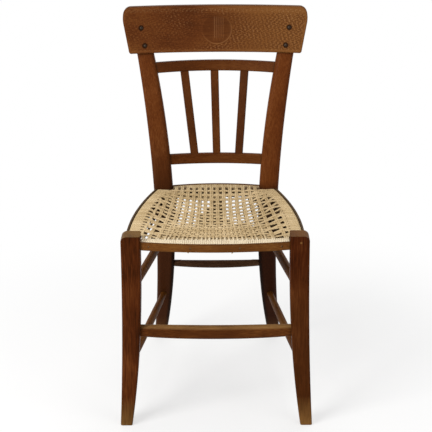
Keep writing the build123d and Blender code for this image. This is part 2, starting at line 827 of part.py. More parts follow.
pieces = {
    "front_leg_left": front_leg_left,
    "front_leg_right": front_leg_right,
    "rear_post_left": rear_post_left,
    "rear_post_right": rear_post_right,
    "crest_rail": crest_rail,
    "crest_screws": crest_screws,
    "upper_back_rail": upper_back_rail,
    "lower_back_rail": lower_back_rail,
    "back_spindle_left": back_spindle_left,
    "back_spindle_middle": back_spindle_middle,
    "back_spindle_right": back_spindle_right,
    "front_stretcher": front_stretcher,
    "rear_stretcher": rear_stretcher,
    "upper_side_stretcher_left": upper_side_stretcher_left,
    "upper_side_stretcher_right": upper_side_stretcher_right,
    "lower_side_stretcher_left": lower_side_stretcher_left,
    "lower_side_stretcher_right": lower_side_stretcher_right,
    "seat_rail_front": seat_rail_front,
    "seat_rail_rear": seat_rail_rear,
    "seat_rail_left": seat_rail_left,
    "seat_rail_right": seat_rail_right,
    "edge_strip_front": edge_strip_front,
    "edge_strip_rear": edge_strip_rear,
    "edge_strip_left": edge_strip_left,
    "edge_strip_right": edge_strip_right,
    "strip_nails": strip_nails,
    "seat_weave": seat_weave,
}

os.makedirs("parts", exist_ok=True)
for name, piece in pieces.items():
    piece.part.label = name
    export_step(piece.part, f"parts/{name}.step")
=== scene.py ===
"""A wooden side chair with a seat woven of paper cord.

Here are the chair's finishes, its weave, the pressed relief on its crest, and its light.
"""

import logging
from dataclasses import dataclass
from enum import Enum
from math import radians

import bpy
import numpy as np
from mathutils import Matrix


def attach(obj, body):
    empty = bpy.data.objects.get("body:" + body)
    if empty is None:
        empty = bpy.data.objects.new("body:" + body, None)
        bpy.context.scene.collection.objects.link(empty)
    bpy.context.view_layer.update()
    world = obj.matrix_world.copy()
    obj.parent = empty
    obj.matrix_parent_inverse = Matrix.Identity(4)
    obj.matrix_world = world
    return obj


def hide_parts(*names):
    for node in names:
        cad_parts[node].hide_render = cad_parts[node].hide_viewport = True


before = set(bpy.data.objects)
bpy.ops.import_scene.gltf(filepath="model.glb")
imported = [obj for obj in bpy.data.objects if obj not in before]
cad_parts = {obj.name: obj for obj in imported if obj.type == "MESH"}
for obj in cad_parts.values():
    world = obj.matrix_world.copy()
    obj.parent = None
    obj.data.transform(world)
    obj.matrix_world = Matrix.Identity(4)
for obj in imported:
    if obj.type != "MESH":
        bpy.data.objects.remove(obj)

log = logging.getLogger("chair")
MM = 0.001
ROOT = "root"
Array = np.ndarray
Span = tuple[float, float]  # two numbers that belong together, such as from and to
Place = tuple[float, float, float]

# directions in which a flat cord is wide, as X, depth and Z
WIDE_ACROSS = np.array([1.0, 0.0, 0.0])
WIDE_BACK = np.array([0.0, 1.0, 0.0])

# depths are measured back from the front faces of the front legs, and this one lies at Y = 0
ORIGIN_DEPTH = 243.75

# sockets of a Mix node set to colours: its factor, the colour below, the one over it, and the result
FACTOR, BELOW, OVER, MIXED = 0, 6, 7, 2


class Grain(Enum):
    """The direction that the fibres of a piece of wood run in."""

    ACROSS = (1.0, 0.0, 0.0)
    BACK = (0.0, 1.0, 0.0)
    UP = (0.0, 0.0, 1.0)


def linear(code: str) -> tuple[float, float, float, float]:
    """Turns an sRGB hex value into linear light.

    Args:
        code: The colour as "#rrggbb".

    Returns:
        Red, green, blue and an alpha of 1.
    """
    parts = [int(code[i : i + 2], 16) / 255 for i in (1, 3, 5)]
    red, green, blue = (p / 12.92 if p <= 0.04045 else ((p + 0.055) / 1.055) ** 2.4 for p in parts)
    return red, green, blue, 1.0


def add(tree: bpy.types.NodeTree, kind: str, values: dict | None = None, links: dict | None = None,
        stops: list[tuple[float, str]] | None = None, **settings) -> bpy.types.Node:
    """Adds a node with its settings, socket values, colour stops and links.

    Args:
        tree: The node tree that gets the node.
        kind: The node's type.
        values: Socket to default value.
        links: Socket to the output that feeds it.
        stops: Places and hex colours of a ramp.
        settings: Properties of the node.

    Returns:
        The new node.
    """
    node = tree.nodes.new(kind)
    for name, value in settings.items():
        setattr(node, name, value)
    for socket, value in (values or {}).items():
        node.inputs[socket].default_value = value
    for socket, source in (links or {}).items():
        tree.links.new(source, node.inputs[socket])
    if stops:
        elements = node.color_ramp.elements
        while len(elements) < len(stops):
            elements.new(0.5)
        for element, (place, colour) in zip(elements, stops):
            element.position = place
            element.color = linear(colour)
    return node


def new_material(name: str) -> tuple[bpy.types.Material, bpy.types.NodeTree]:
    """Makes an empty node material.

    Args:
        name: The finish's name.

    Returns:
        The material and its cleared node tree.
    """
    material = bpy.data.materials.new(name)
    material.use_nodes = True
    material.node_tree.nodes.clear()
    return material, material.node_tree


@dataclass(frozen=True)
class StainedBeech:
    """Beech, planed or turned, stained brown and thinly varnished a long time ago.

    The stain gathers in the fibres as fine dark streaks, the dry old varnish gives only a faint
    gloss, painted shade darkens the rounded edges, and rubbed places show a paler tone.
    """

    name: str
    grain: Grain
    dark: str
    ground: str
    light: str
    worn: str
    fibre_mm: float = 1.6  # a streak's width, drawn coarser than real, which is too fine to show
    streak: float = 22.0  # a streak's length over its width
    fibre_depth: float = 0.12
    pore_size: Span = (0.6, 0.5)  # a pore's width and length over a streak's, also coarser than real
    pore_share: float = 0.55
    cloud_mm: float = 55.0
    cloud_length: float = 2.5  # a cloud's length over its width
    cloud_share: float = 0.45  # how much of the tone comes from the clouds, beside the fibres
    turn_start: float = 0.995  # the cosine of a bevel's turn at which a rounded edge begins
    edge_wear: float = 0.2
    wear_bevel: Span = (2.5, 0.93)  # the bevel's radius, and the cosine at which the wear is full
    edge_shade: float = 0.7  # how dark the rounded edges are painted: a painted shade where they turn from the light
    shade_bevel: Span = (4.0, 0.90)
    # the colour of the painted shade on the rounded edges
    painted_shade: str = "#1f0f06"
    # how much faces that look up take the worn tone: real wear on some pieces, a painted highlight on the
    # front stretcher and a painted shade on the crest board's top
    top_wear_and_light: float = 0.0
    top_turn: Span = (0.35, 0.8)  # a normal's Z where the tone on faces that look up starts and where it is full
    foot_wear: float = 0.0
    foot_mm: float = 75.0
    roughness: float = 0.42
    rough_spread: Span = (-0.07, 0.14)  # how much smoother and rougher the stain's tones are
    gloss: float = 0.03
    gradient_colour: str = ""  # the colour the piece grades to, from fade_mm[0] to fade_mm[1] along fade_axis: painted shade on the posts, painted light on the crest
    fade_axis: str = "Z"
    fade_mm: Span = (0.0, 1.0)
    fade_share: float = 0.85
    pressed: bool = False  # whether the piece carries a relief, whose low places hold more stain
    hollow: str = "#1a0d05"  # the stain in the relief's deepest places, which also paints the shadow round the screw heads
    shaded: float = 0.0  # how dark the sides that face the mid plane are painted below the seat, as painted shade
    shade_colour: str = "#0d0502"
    shade_turn_mm: Span = (-8.0, -60.0)  # X times the normal's X, where the shade starts and is full
    shade_mm: Span = (460.0, 430.0)  # the heights between which the shade comes in
    spot: Place | None = None  # where the end of a peg shows pale, in millimetres
    spot_radius: float = 3.2
    spot_core: float = 0.6  # the share of the radius within which the peg's end is palest
    spot_share: float = 0.8

    def material(self) -> bpy.types.Material:
        """Builds the finish: fibres drawn out along the grain, clouds of stain, pores and worn edges.

        Returns:
            The material.
        """
        material, tree = new_material(self.name)
        place = add(tree, "ShaderNodeTexCoord").outputs["Object"]
        along = np.array(self.grain.value)
        across = 1 / (self.fibre_mm * MM)
        fibre_scale = tuple(across * (1 - along) + across / self.streak * along)
        width, length = self.pore_size
        pore_scale = tuple(across / width * (1 - along) + across / (length * self.streak) * along)
        cloud = 1 / (self.cloud_mm * MM)
        cloud_scale = tuple(cloud * (1 - along) + cloud / self.cloud_length * along)
        stretched = add(tree, "ShaderNodeMapping", {"Scale": fibre_scale}, {"Vector": place})
        fibres = add(tree, "ShaderNodeTexNoise",
                     {"Scale": 1.0, "Detail": 5.0, "Roughness": 0.62, "Distortion": 0.35},
                     {"Vector": stretched.outputs[0]})
        pored = add(tree, "ShaderNodeMapping", {"Scale": pore_scale}, {"Vector": place})
        pores = add(tree, "ShaderNodeTexNoise", {"Scale": 1.0, "Detail": 2.0, "Roughness": 0.5},
                    {"Vector": pored.outputs[0]})
        pore_mask = add(tree, "ShaderNodeMapRange", {"From Min": 0.60, "From Max": 0.70},
                        {"Value": pores.outputs["Fac"]})
        clouded = add(tree, "ShaderNodeMapping", {"Scale": cloud_scale}, {"Vector": place})
        clouds = add(tree, "ShaderNodeTexNoise", {"Scale": 1.0, "Detail": 3.0, "Roughness": 0.55},
                     {"Vector": clouded.outputs[0]})
        mixed = add(tree, "ShaderNodeMix", {"Factor": self.cloud_share},
                    {"A": fibres.outputs["Fac"], "B": clouds.outputs["Fac"]}, data_type="FLOAT")
        stain = add(tree, "ShaderNodeValToRGB", None, {"Fac": mixed.outputs[0]},
                    [(0.34, self.dark), (0.50, self.ground), (0.66, self.light)])
        ground = self.aged_and_shaded(tree, place, stain.outputs["Color"])
        pore_stain = add(tree, "ShaderNodeMath", {1: self.pore_share}, {0: pore_mask.outputs[0]},
                         operation="MULTIPLY")
        pore_dark = add(tree, "ShaderNodeMix", {OVER: linear(self.dark)},
                        {FACTOR: pore_stain.outputs[0], BELOW: ground}, data_type="RGBA")
        wear = self.wear(tree, place, clouds.outputs["Fac"], fibres.outputs["Fac"])
        colour = add(tree, "ShaderNodeMix", {OVER: linear(self.worn)},
                     {FACTOR: wear, BELOW: pore_dark.outputs[MIXED]}, data_type="RGBA")
        smoother, rougher = (self.roughness + spread for spread in self.rough_spread)
        rough = add(tree, "ShaderNodeMapRange",
                    {"From Min": 0.3, "From Max": 0.7, "To Min": smoother, "To Max": rougher},
                    {"Value": mixed.outputs[0]})
        bump = add(tree, "ShaderNodeBump", {"Strength": 0.5, "Distance": self.fibre_depth * MM},
                   {"Height": fibres.outputs["Fac"]})
        shader = add(tree, "ShaderNodeBsdfPrincipled",
                     {"IOR": 1.5, "Specular IOR Level": self.gloss},
                     {"Base Color": colour.outputs[MIXED], "Roughness": rough.outputs[0],
                      "Normal": bump.outputs[0]})
        add(tree, "ShaderNodeOutputMaterial", None, {"Surface": shader.outputs[0]})
        return material

    def aged_and_shaded(self, tree: bpy.types.NodeTree, place: bpy.types.NodeSocket,
             ground: bpy.types.NodeSocket) -> bpy.types.NodeSocket:
        """Lays over the stain a gradient, dark hollows, painted shade on edges and inner sides, and a peg's
        end.

        Args:
            tree: The material's node tree.
            place: Object coordinates.
            ground: The stain's colour.

        Returns:
            The colour before its pores and its wear.
        """
        # a colour gradient: painted shade below the seat on the posts, painted light toward the crest's right
        # end
        if self.gradient_colour:
            start, end = self.fade_mm
            axis = add(tree, "ShaderNodeSeparateXYZ", None, {0: place}).outputs[self.fade_axis]
            fade = add(tree, "ShaderNodeMapRange", {"From Min": start * MM, "From Max": end * MM},
                       {"Value": axis}, interpolation_type="SMOOTHSTEP")
            share = add(tree, "ShaderNodeMath", {1: self.fade_share}, {0: fade.outputs[0]},
                        operation="MULTIPLY")
            ground = add(tree, "ShaderNodeMix", {OVER: linear(self.gradient_colour)},
                         {FACTOR: share.outputs[0], BELOW: ground}, data_type="RGBA").outputs[MIXED]
        if self.pressed:
            level = add(tree, "ShaderNodeAttribute", attribute_name="tone")
            # each tone's first and full level on the relief, its strength and its colour
            low = (0.5, 0.0, 0.5, self.dark)
            deepest = (0.0, -1.0, 0.9, self.hollow)
            raised = (0.8, 1.5, 0.6, self.worn)
            for first, full, strength, colour in (low, deepest, raised):
                share = add(tree, "ShaderNodeMapRange",
                            {"From Min": first, "From Max": full, "To Max": strength},
                            {"Value": level.outputs["Fac"]})
                ground = add(tree, "ShaderNodeMix", {OVER: linear(colour)},
                             {FACTOR: share.outputs[0], BELOW: ground}, data_type="RGBA").outputs[MIXED]
        # painted shade on the rounded edges
        edges = self.rounded(tree, self.shade_bevel, self.edge_shade)
        ground = add(tree, "ShaderNodeMix", {OVER: linear(self.painted_shade)}, {FACTOR: edges, BELOW: ground},
                     data_type="RGBA").outputs[MIXED]
        # painted shade on the inward sides below the seat
        if self.shaded:
            ground = self.shade(tree, place, ground)
        if self.spot:
            away = add(tree, "ShaderNodeVectorMath", {1: tuple(v * MM for v in self.spot)}, {0: place},
                       operation="DISTANCE")
            peg = add(tree, "ShaderNodeMapRange",
                      {"From Min": self.spot_radius * MM, "From Max": self.spot_core * self.spot_radius * MM,
                       "To Max": self.spot_share}, {"Value": away.outputs["Value"]})
            ground = add(tree, "ShaderNodeMix", {OVER: linear(self.worn)},
                         {FACTOR: peg.outputs[0], BELOW: ground}, data_type="RGBA").outputs[MIXED]
        return ground

    def rounded(self, tree: bpy.types.NodeTree, bevel: Span, share: float) -> bpy.types.NodeSocket:
        """Finds the rounded edges, where the normal of a bevel turns away from the face's own.

        Args:
            tree: The material's node tree.
            bevel: Its radius in millimetres, and the cosine of the turn at which the mask is full.
            share: The full mask.

        Returns:
            A mask from 0 to share.
        """
        radius, full = bevel
        flat = add(tree, "ShaderNodeNewGeometry").outputs["Normal"]
        softened = add(tree, "ShaderNodeBevel", {"Radius": radius * MM}, samples=6)
        turn = add(tree, "ShaderNodeVectorMath", None, {0: flat, 1: softened.outputs[0]},
                   operation="DOT_PRODUCT")
        return add(tree, "ShaderNodeMapRange",
                   {"From Min": self.turn_start, "From Max": full, "To Max": share},
                   {"Value": turn.outputs["Value"]}).outputs[0]

    def shade(self, tree: bpy.types.NodeTree, place: bpy.types.NodeSocket,
              ground: bpy.types.NodeSocket) -> bpy.types.NodeSocket:
        """Paints shade on the sides below the seat that face the mid plane.

        X times the normal's X is negative on those sides, and the more so the further out they stand.

        Args:
            tree: The material's node tree.
            place: Object coordinates.
            ground: The colour so far.

        Returns:
            The darkened colour.
        """
        point = add(tree, "ShaderNodeSeparateXYZ", None, {0: place})
        normal = add(tree, "ShaderNodeNewGeometry").outputs["Normal"]
        facing = add(tree, "ShaderNodeSeparateXYZ", None, {0: normal})
        inward = add(tree, "ShaderNodeMath", None, {0: point.outputs["X"], 1: facing.outputs["X"]},
                     operation="MULTIPLY")
        first, full = (turn * MM for turn in self.shade_turn_mm)
        turned = add(tree, "ShaderNodeMapRange",
                     {"From Min": first, "From Max": full, "To Max": self.shaded},
                     {"Value": inward.outputs[0]})
        upper, lower = (height * MM for height in self.shade_mm)
        below = add(tree, "ShaderNodeMapRange", {"From Min": upper, "From Max": lower},
                    {"Value": point.outputs["Z"]})
        mask = add(tree, "ShaderNodeMath", None, {0: turned.outputs[0], 1: below.outputs[0]},
                   operation="MULTIPLY")
        return add(tree, "ShaderNodeMix", {OVER: linear(self.shade_colour)},
                   {FACTOR: mask.outputs[0], BELOW: ground}, data_type="RGBA").outputs[MIXED]

    def wear(self, tree: bpy.types.NodeTree, place: bpy.types.NodeSocket, clouds: bpy.types.NodeSocket,
             fibres: bpy.types.NodeSocket) -> bpy.types.NodeSocket:
        """Finds the rubbed places: rounded edges, faces that look up, and the lowest part of a foot.

        The three masks add up, and their sum is broken up by the sum of both noises. The mask on faces
        that look up paints a highlight on the front stretcher and a shade on the crest board's top.

        Args:
            tree: The material's node tree.
            place: Object coordinates.
            clouds: The broad noise.
            fibres: The fine noise.

        Returns:
            A mask from 0 to 1.
        """
        normal = add(tree, "ShaderNodeNewGeometry").outputs["Normal"]
        edge = self.rounded(tree, self.wear_bevel, self.edge_wear)
        facing = add(tree, "ShaderNodeSeparateXYZ", None, {0: normal})
        first, full = self.top_turn
        top = add(tree, "ShaderNodeMapRange", {"From Min": first, "From Max": full, "To Max": self.top_wear_and_light},
                  {"Value": facing.outputs["Z"]})
        point = add(tree, "ShaderNodeSeparateXYZ", None, {0: place})
        foot = add(tree, "ShaderNodeMapRange",
                   {"From Min": self.foot_mm * MM, "From Max": 0.0, "To Max": self.foot_wear},
                   {"Value": point.outputs["Z"]})
        upper = add(tree, "ShaderNodeMath", None, {0: edge, 1: top.outputs[0]}, operation="ADD")
        total = add(tree, "ShaderNodeMath", None, {0: upper.outputs[0], 1: foot.outputs[0]}, operation="ADD")
        noise = add(tree, "ShaderNodeMath", None, {0: clouds, 1: fibres}, operation="ADD")
        broken = add(tree, "ShaderNodeMapRange",
                     {"From Min": 0.7, "From Max": 1.25, "To Min": 0.35, "To Max": 1.3},
                     {"Value": noise.outputs[0]})
        return add(tree, "ShaderNodeMath", None, {0: total.outputs[0], 1: broken.outputs[0]},
                   operation="MULTIPLY", use_clamp=True).outputs[0]


@dataclass(frozen=True)
class BlackenedSteel:
    """Steel pins and screws, blackened and a little rusted, with a dull metal gleam."""

    name: str
    dark: str
    light: str
    speck_mm: float = 1.2
    speck_depth: float = 0.1

    def material(self) -> bpy.types.Material:
        """Builds the finish: specks of rust and rubbed metal.

        Returns:
            The material.
        """
        material, tree = new_material(self.name)
        place = add(tree, "ShaderNodeTexCoord").outputs["Object"]
        specks = add(tree, "ShaderNodeTexNoise", {"Scale": 1 / (self.speck_mm * MM), "Detail": 4.0},
                     {"Vector": place})
        colour = add(tree, "ShaderNodeValToRGB", None, {"Fac": specks.outputs["Fac"]},
                     [(0.4, self.dark), (0.65, self.light)])
        rough = add(tree, "ShaderNodeMapRange", {"To Min": 0.32, "To Max": 0.62},
                    {"Value": specks.outputs["Fac"]})
        bump = add(tree, "ShaderNodeBump", {"Strength": 0.3, "Distance": self.speck_depth * MM},
                   {"Height": specks.outputs["Fac"]})
        shader = add(tree, "ShaderNodeBsdfPrincipled", {"Metallic": 0.85},
                     {"Base Color": colour.outputs[0], "Roughness": rough.outputs[0],
                      "Normal": bump.outputs[0]})
        add(tree, "ShaderNodeOutputMaterial", None, {"Surface": shader.outputs[0]})
        return material


@dataclass(frozen=True)
class PaperCord:
    """Kraft paper cord, twisted from strips: matt, straw coloured, with slanting twist lines.

    Each cord differs a little in tone, patches run over many of them, painted shade browns the cords
    below the net and on the rails' inner sides, and the front is rubbed paler.
    """

    name: str
    dark: str
    ground: str
    light: str
    shade_tint: str
    rubbed: str
    rubbed_mm: Span = (-202.0, -222.0)  # between these places on Y the front is rubbed paler
    rubbed_share: float = 0.8
    twist_mm: float = 7.0
    twist_depth: float = 0.25
    fibre_mm: float = 1.5  # drawn coarser than the paper's own fibres, which are too fine to show
    patch_mm: float = 60.0
    tone_share: float = 0.28  # how much of the broad tone is each cord's own, beside the patches
    fibre_share: float = 0.5  # how much of the fine tone comes from the fibres, beside the twist
    fine_share: float = 0.35  # how much of the whole is the fine tone

    def material(self) -> bpy.types.Material:
        """Builds the finish from the cord's own length and turn, kept in its UV map.

        The twist is sin(4 pi (length / twist + turn)), so in each twist two lines wind round the cord.

        Returns:
            The material.
        """
        material, tree = new_material(self.name)
        place = add(tree, "ShaderNodeTexCoord").outputs["Object"]
        run = add(tree, "ShaderNodeUVMap", uv_map="cord")
        parts = add(tree, "ShaderNodeSeparateXYZ", None, {0: run.outputs[0]})
        turns = add(tree, "ShaderNodeMath", {1: 1 / (self.twist_mm * MM)}, {0: parts.outputs["X"]},
                    operation="MULTIPLY")
        winding = add(tree, "ShaderNodeMath", None, {0: turns.outputs[0], 1: parts.outputs["Y"]},
                      operation="ADD")
        angle = add(tree, "ShaderNodeMath", {1: 4 * np.pi}, {0: winding.outputs[0]}, operation="MULTIPLY")
        wave = add(tree, "ShaderNodeMath", None, {0: angle.outputs[0]}, operation="SINE")
        twist = add(tree, "ShaderNodeMapRange", {"From Min": -1.0, "From Max": 1.0},
                    {"Value": wave.outputs[0]})
        fibres = add(tree, "ShaderNodeTexNoise", {"Scale": 1 / (self.fibre_mm * MM), "Detail": 3.0},
                     {"Vector": place})
        patches = add(tree, "ShaderNodeTexNoise", {"Scale": 1 / (self.patch_mm * MM), "Detail": 3.0},
                      {"Vector": place})
        tone = add(tree, "ShaderNodeAttribute", attribute_name="tone")
        broad = add(tree, "ShaderNodeMix", {"Factor": self.tone_share},
                    {"A": patches.outputs["Fac"], "B": tone.outputs["Fac"]}, data_type="FLOAT")
        fine = add(tree, "ShaderNodeMix", {"Factor": self.fibre_share},
                   {"A": twist.outputs[0], "B": fibres.outputs["Fac"]}, data_type="FLOAT")
        both = add(tree, "ShaderNodeMix", {"Factor": self.fine_share},
                   {"A": broad.outputs[0], "B": fine.outputs[0]}, data_type="FLOAT")
        colour = add(tree, "ShaderNodeValToRGB", None, {"Fac": both.outputs[0]},
                     [(0.26, self.dark), (0.50, self.ground), (0.76, self.light)])
        # painted shade: browns the cords where the net and the rails shade them
        painted_shade = add(tree, "ShaderNodeAttribute", attribute_name="painted_shade")
        shade_tint = add(tree, "ShaderNodeMix", {OVER: linear(self.shade_tint)},
                     {FACTOR: painted_shade.outputs["Fac"], BELOW: colour.outputs[0]}, data_type="RGBA")
        back = add(tree, "ShaderNodeSeparateXYZ", None, {0: place})
        first, full = (y * MM for y in self.rubbed_mm)
        rubbed = add(tree, "ShaderNodeMapRange",
                     {"From Min": first, "From Max": full, "To Max": self.rubbed_share},
                     {"Value": back.outputs["Y"]})
        cleaned = add(tree, "ShaderNodeMix", {OVER: linear(self.rubbed)},
                      {FACTOR: rubbed.outputs[0], BELOW: shade_tint.outputs[MIXED]}, data_type="RGBA")
        bump = add(tree, "ShaderNodeBump", {"Strength": 0.6, "Distance": self.twist_depth * MM},
                   {"Height": fine.outputs[0]})
        shader = add(tree, "ShaderNodeBsdfPrincipled",
                     {"Roughness": 0.8, "IOR": 1.45, "Specular IOR Level": 0.2},
                     {"Base Color": cleaned.outputs[MIXED], "Normal": bump.outputs[0]})
        add(tree, "ShaderNodeOutputMaterial", None, {"Surface": shader.outputs[0]})
        return material


def grid_quads(rows: int, columns: int, wrap_rows: bool = False, wrap_columns: bool = False) -> Array:
    """Corner numbers of the quads of a grid whose vertex (i, j) has the number i * columns + j.

    Args:
        rows: Vertices in the first direction.
        columns: Vertices in the second direction.
        wrap_rows: Whether the last row joins the first.
        wrap_columns: Whether the last column joins the first.

    Returns:
        An array of four corners a quad.
    """
    steps = (np.arange(rows - (not wrap_rows)), np.arange(columns - (not wrap_columns)))
    i, j = np.meshgrid(*steps, indexing="ij")
    i, j = i.ravel(), j.ravel()
    near, far = (i + 1) % rows, (j + 1) % columns
    corners = (i * columns + j, i * columns + far, near * columns + far, near * columns + j)
    return np.stack(corners, axis=1)


def new_piece(name: str, points: Array, faces: list[Array], uv: Array | None = None,
              values: dict[str, Array] | None = None) -> bpy.types.Object:
    """Puts whole arrays of points and faces into a mesh that rides on the chair.

    Args:
        name: The piece's name.
        points: Vertices in millimetres, as X, depth and Z.
        faces: Arrays of corner numbers, one array for each count of corners.
        uv: A place on the piece's UV map for each corner.
        values: Named values, one for each vertex.

    Returns:
        The new object, linked and riding.
    """
    mesh = bpy.data.meshes.new(name)
    world = (points - np.array([0.0, ORIGIN_DEPTH, 0.0])) * MM
    counts = np.concatenate([np.full(len(group), group.shape[1]) for group in faces])
    corners = np.concatenate([group.ravel() for group in faces])
    mesh.vertices.add(len(world))
    mesh.vertices.foreach_set("co", world.astype(np.float32).ravel())
    mesh.loops.add(len(corners))
    mesh.loops.foreach_set("vertex_index", corners.astype(np.int32))
    mesh.polygons.add(len(counts))
    starts = np.concatenate([[0], np.cumsum(counts)[:-1]])
    mesh.polygons.foreach_set("loop_start", starts.astype(np.int32))
    mesh.polygons.foreach_set("use_smooth", np.full(len(counts), True))
    if uv is not None:
        layer = mesh.uv_layers.new(name="cord")
        layer.data.foreach_set("uv", uv.astype(np.float32).ravel())
    for key, value in (values or {}).items():
        attribute = mesh.attributes.new(key, "FLOAT", "POINT")
        attribute.data.foreach_set("value", value.astype(np.float32).ravel())
    mesh.update()
    mesh.validate()
    piece = bpy.data.objects.new(name, mesh)
    bpy.context.scene.collection.objects.link(piece)
    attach(piece, ROOT)
    log.info("%s: %d faces", name, len(counts))
    return piece


def smooth_step(low: float, high: float, value: Array) -> Array:
    """The cubic 3u^2 - 2u^3 of u, which goes from 0 at low to 1 at high."""
    u = np.clip((value - low) / (high - low), 0, 1)
    return u * u * (3 - 2 * u)


def within(span: Span, soft: float, value: Array) -> Array:
    """A window that is 0 outside a span and 1 inside it, with smooth steps of a soft width at both ends."""
    low, high = span
    return smooth_step(low, low + soft, value) * smooth_step(high, high - soft, value)


@dataclass
class CordBatch:
    """Cords swept along paths of one point count, collected before they become one mesh."""

    width: float
    height: float
    sides: int = 8
    flattening: float = 0.8

    def __post_init__(self) -> None:
        """Starts with no cord."""
        self.points: list[Array] = []
        self.quads: list[Array] = []
        self.caps: list[Array] = []
        self.uv: list[Array] = []
        self.cap_uv: list[Array] = []
        self.tone: list[Array] = []
        self.painted_shade: list[Array] = []
        self.count = 0

    def sweep(self, paths: Array, flat: Array, closed: bool, tones: Array, painted_shade: Array) -> None:
        """Carries an ellipse along each path.

        A point is path + width/2 c F + height/2 s N, where T is the path's direction, F is flat
        made square to T, N = T x F, and c and s are cos(a) and sin(a), each raised with its sign
        to the power of flattening, which gives the flatter form of packed cords.

        Args:
            paths: Cords by points by 3, in millimetres.
            flat: The direction of the ellipse's width.
            closed: Whether each path ends where it starts.
            tones: A tone for each cord.
            painted_shade: How much painted shade browns each point of a path, from 0 to 1.
        """
        cords, count, _ = paths.shape
        if closed:
            ahead = np.roll(paths, -1, axis=1) - np.roll(paths, 1, axis=1)
        else:
            ahead = np.gradient(paths, axis=1)
        ahead /= np.linalg.norm(ahead, axis=2, keepdims=True)
        side = flat - ahead * (ahead @ flat)[..., None]
        side /= np.linalg.norm(side, axis=2, keepdims=True)
        normal = np.cross(ahead, side)
        angle = np.arange(self.sides) * 2 * np.pi / self.sides
        out, up = (np.sign(part) * np.abs(part) ** self.flattening for part in (np.cos(angle), np.sin(angle)))
        ring = (self.width / 2 * out[:, None] * side[:, :, None, :]
                + self.height / 2 * up[:, None] * normal[:, :, None, :])
        points = (paths[:, :, None, :] + ring).reshape(-1, 3)
        block = count * self.sides
        one = grid_quads(count, self.sides, wrap_rows=closed, wrap_columns=True)
        offsets = self.count + np.arange(cords)[:, None, None] * block
        self.quads.append((one[None] + offsets).reshape(-1, 4))
        step = np.linalg.norm(np.diff(paths, axis=1, append=paths[:, :1]), axis=2)
        length = np.concatenate([np.zeros((cords, 1)), np.cumsum(step, axis=1)], axis=1) * MM
        rows = count if closed else count - 1
        i, j = (a.ravel() for a in np.meshgrid(np.arange(rows), np.arange(self.sides), indexing="ij"))
        near, far = length[:, i], length[:, i + 1]
        low = np.broadcast_to(j / self.sides, near.shape)
        high = np.broadcast_to((j + 1) / self.sides, near.shape)
        uv = np.stack([near, low, near, high, far, high, far, low], axis=-1)
        self.uv.append(uv.reshape(-1, 2))
        if not closed:
            first = np.arange(self.sides)[::-1]
            last = np.arange(self.sides) + block - self.sides
            ends = np.concatenate([first[None] + offsets[:, 0], last[None] + offsets[:, 0]])
            self.caps.append(ends)
            self.cap_uv.append(np.zeros((ends.size, 2)))
        self.points.append(points)
        self.tone.append(np.repeat(tones, block))
        self.painted_shade.append(np.repeat(np.broadcast_to(painted_shade, (cords, count)).ravel(), self.sides))
        self.count += len(points)

    def piece(self, name: str) -> bpy.types.Object:
        """Makes one mesh of all the cords.

        Args:
            name: The piece's name.

        Returns:
            The new object.
        """
        faces = [np.concatenate(self.quads)]
        uv = [np.concatenate(self.uv)]
        if self.caps:
            faces.append(np.concatenate(self.caps))
            uv.append(np.concatenate(self.cap_uv))
        values = {"tone": np.concatenate(self.tone), "painted_shade": np.concatenate(self.painted_shade)}
        return new_piece(name, np.concatenate(self.points), faces, np.concatenate(uv), values)


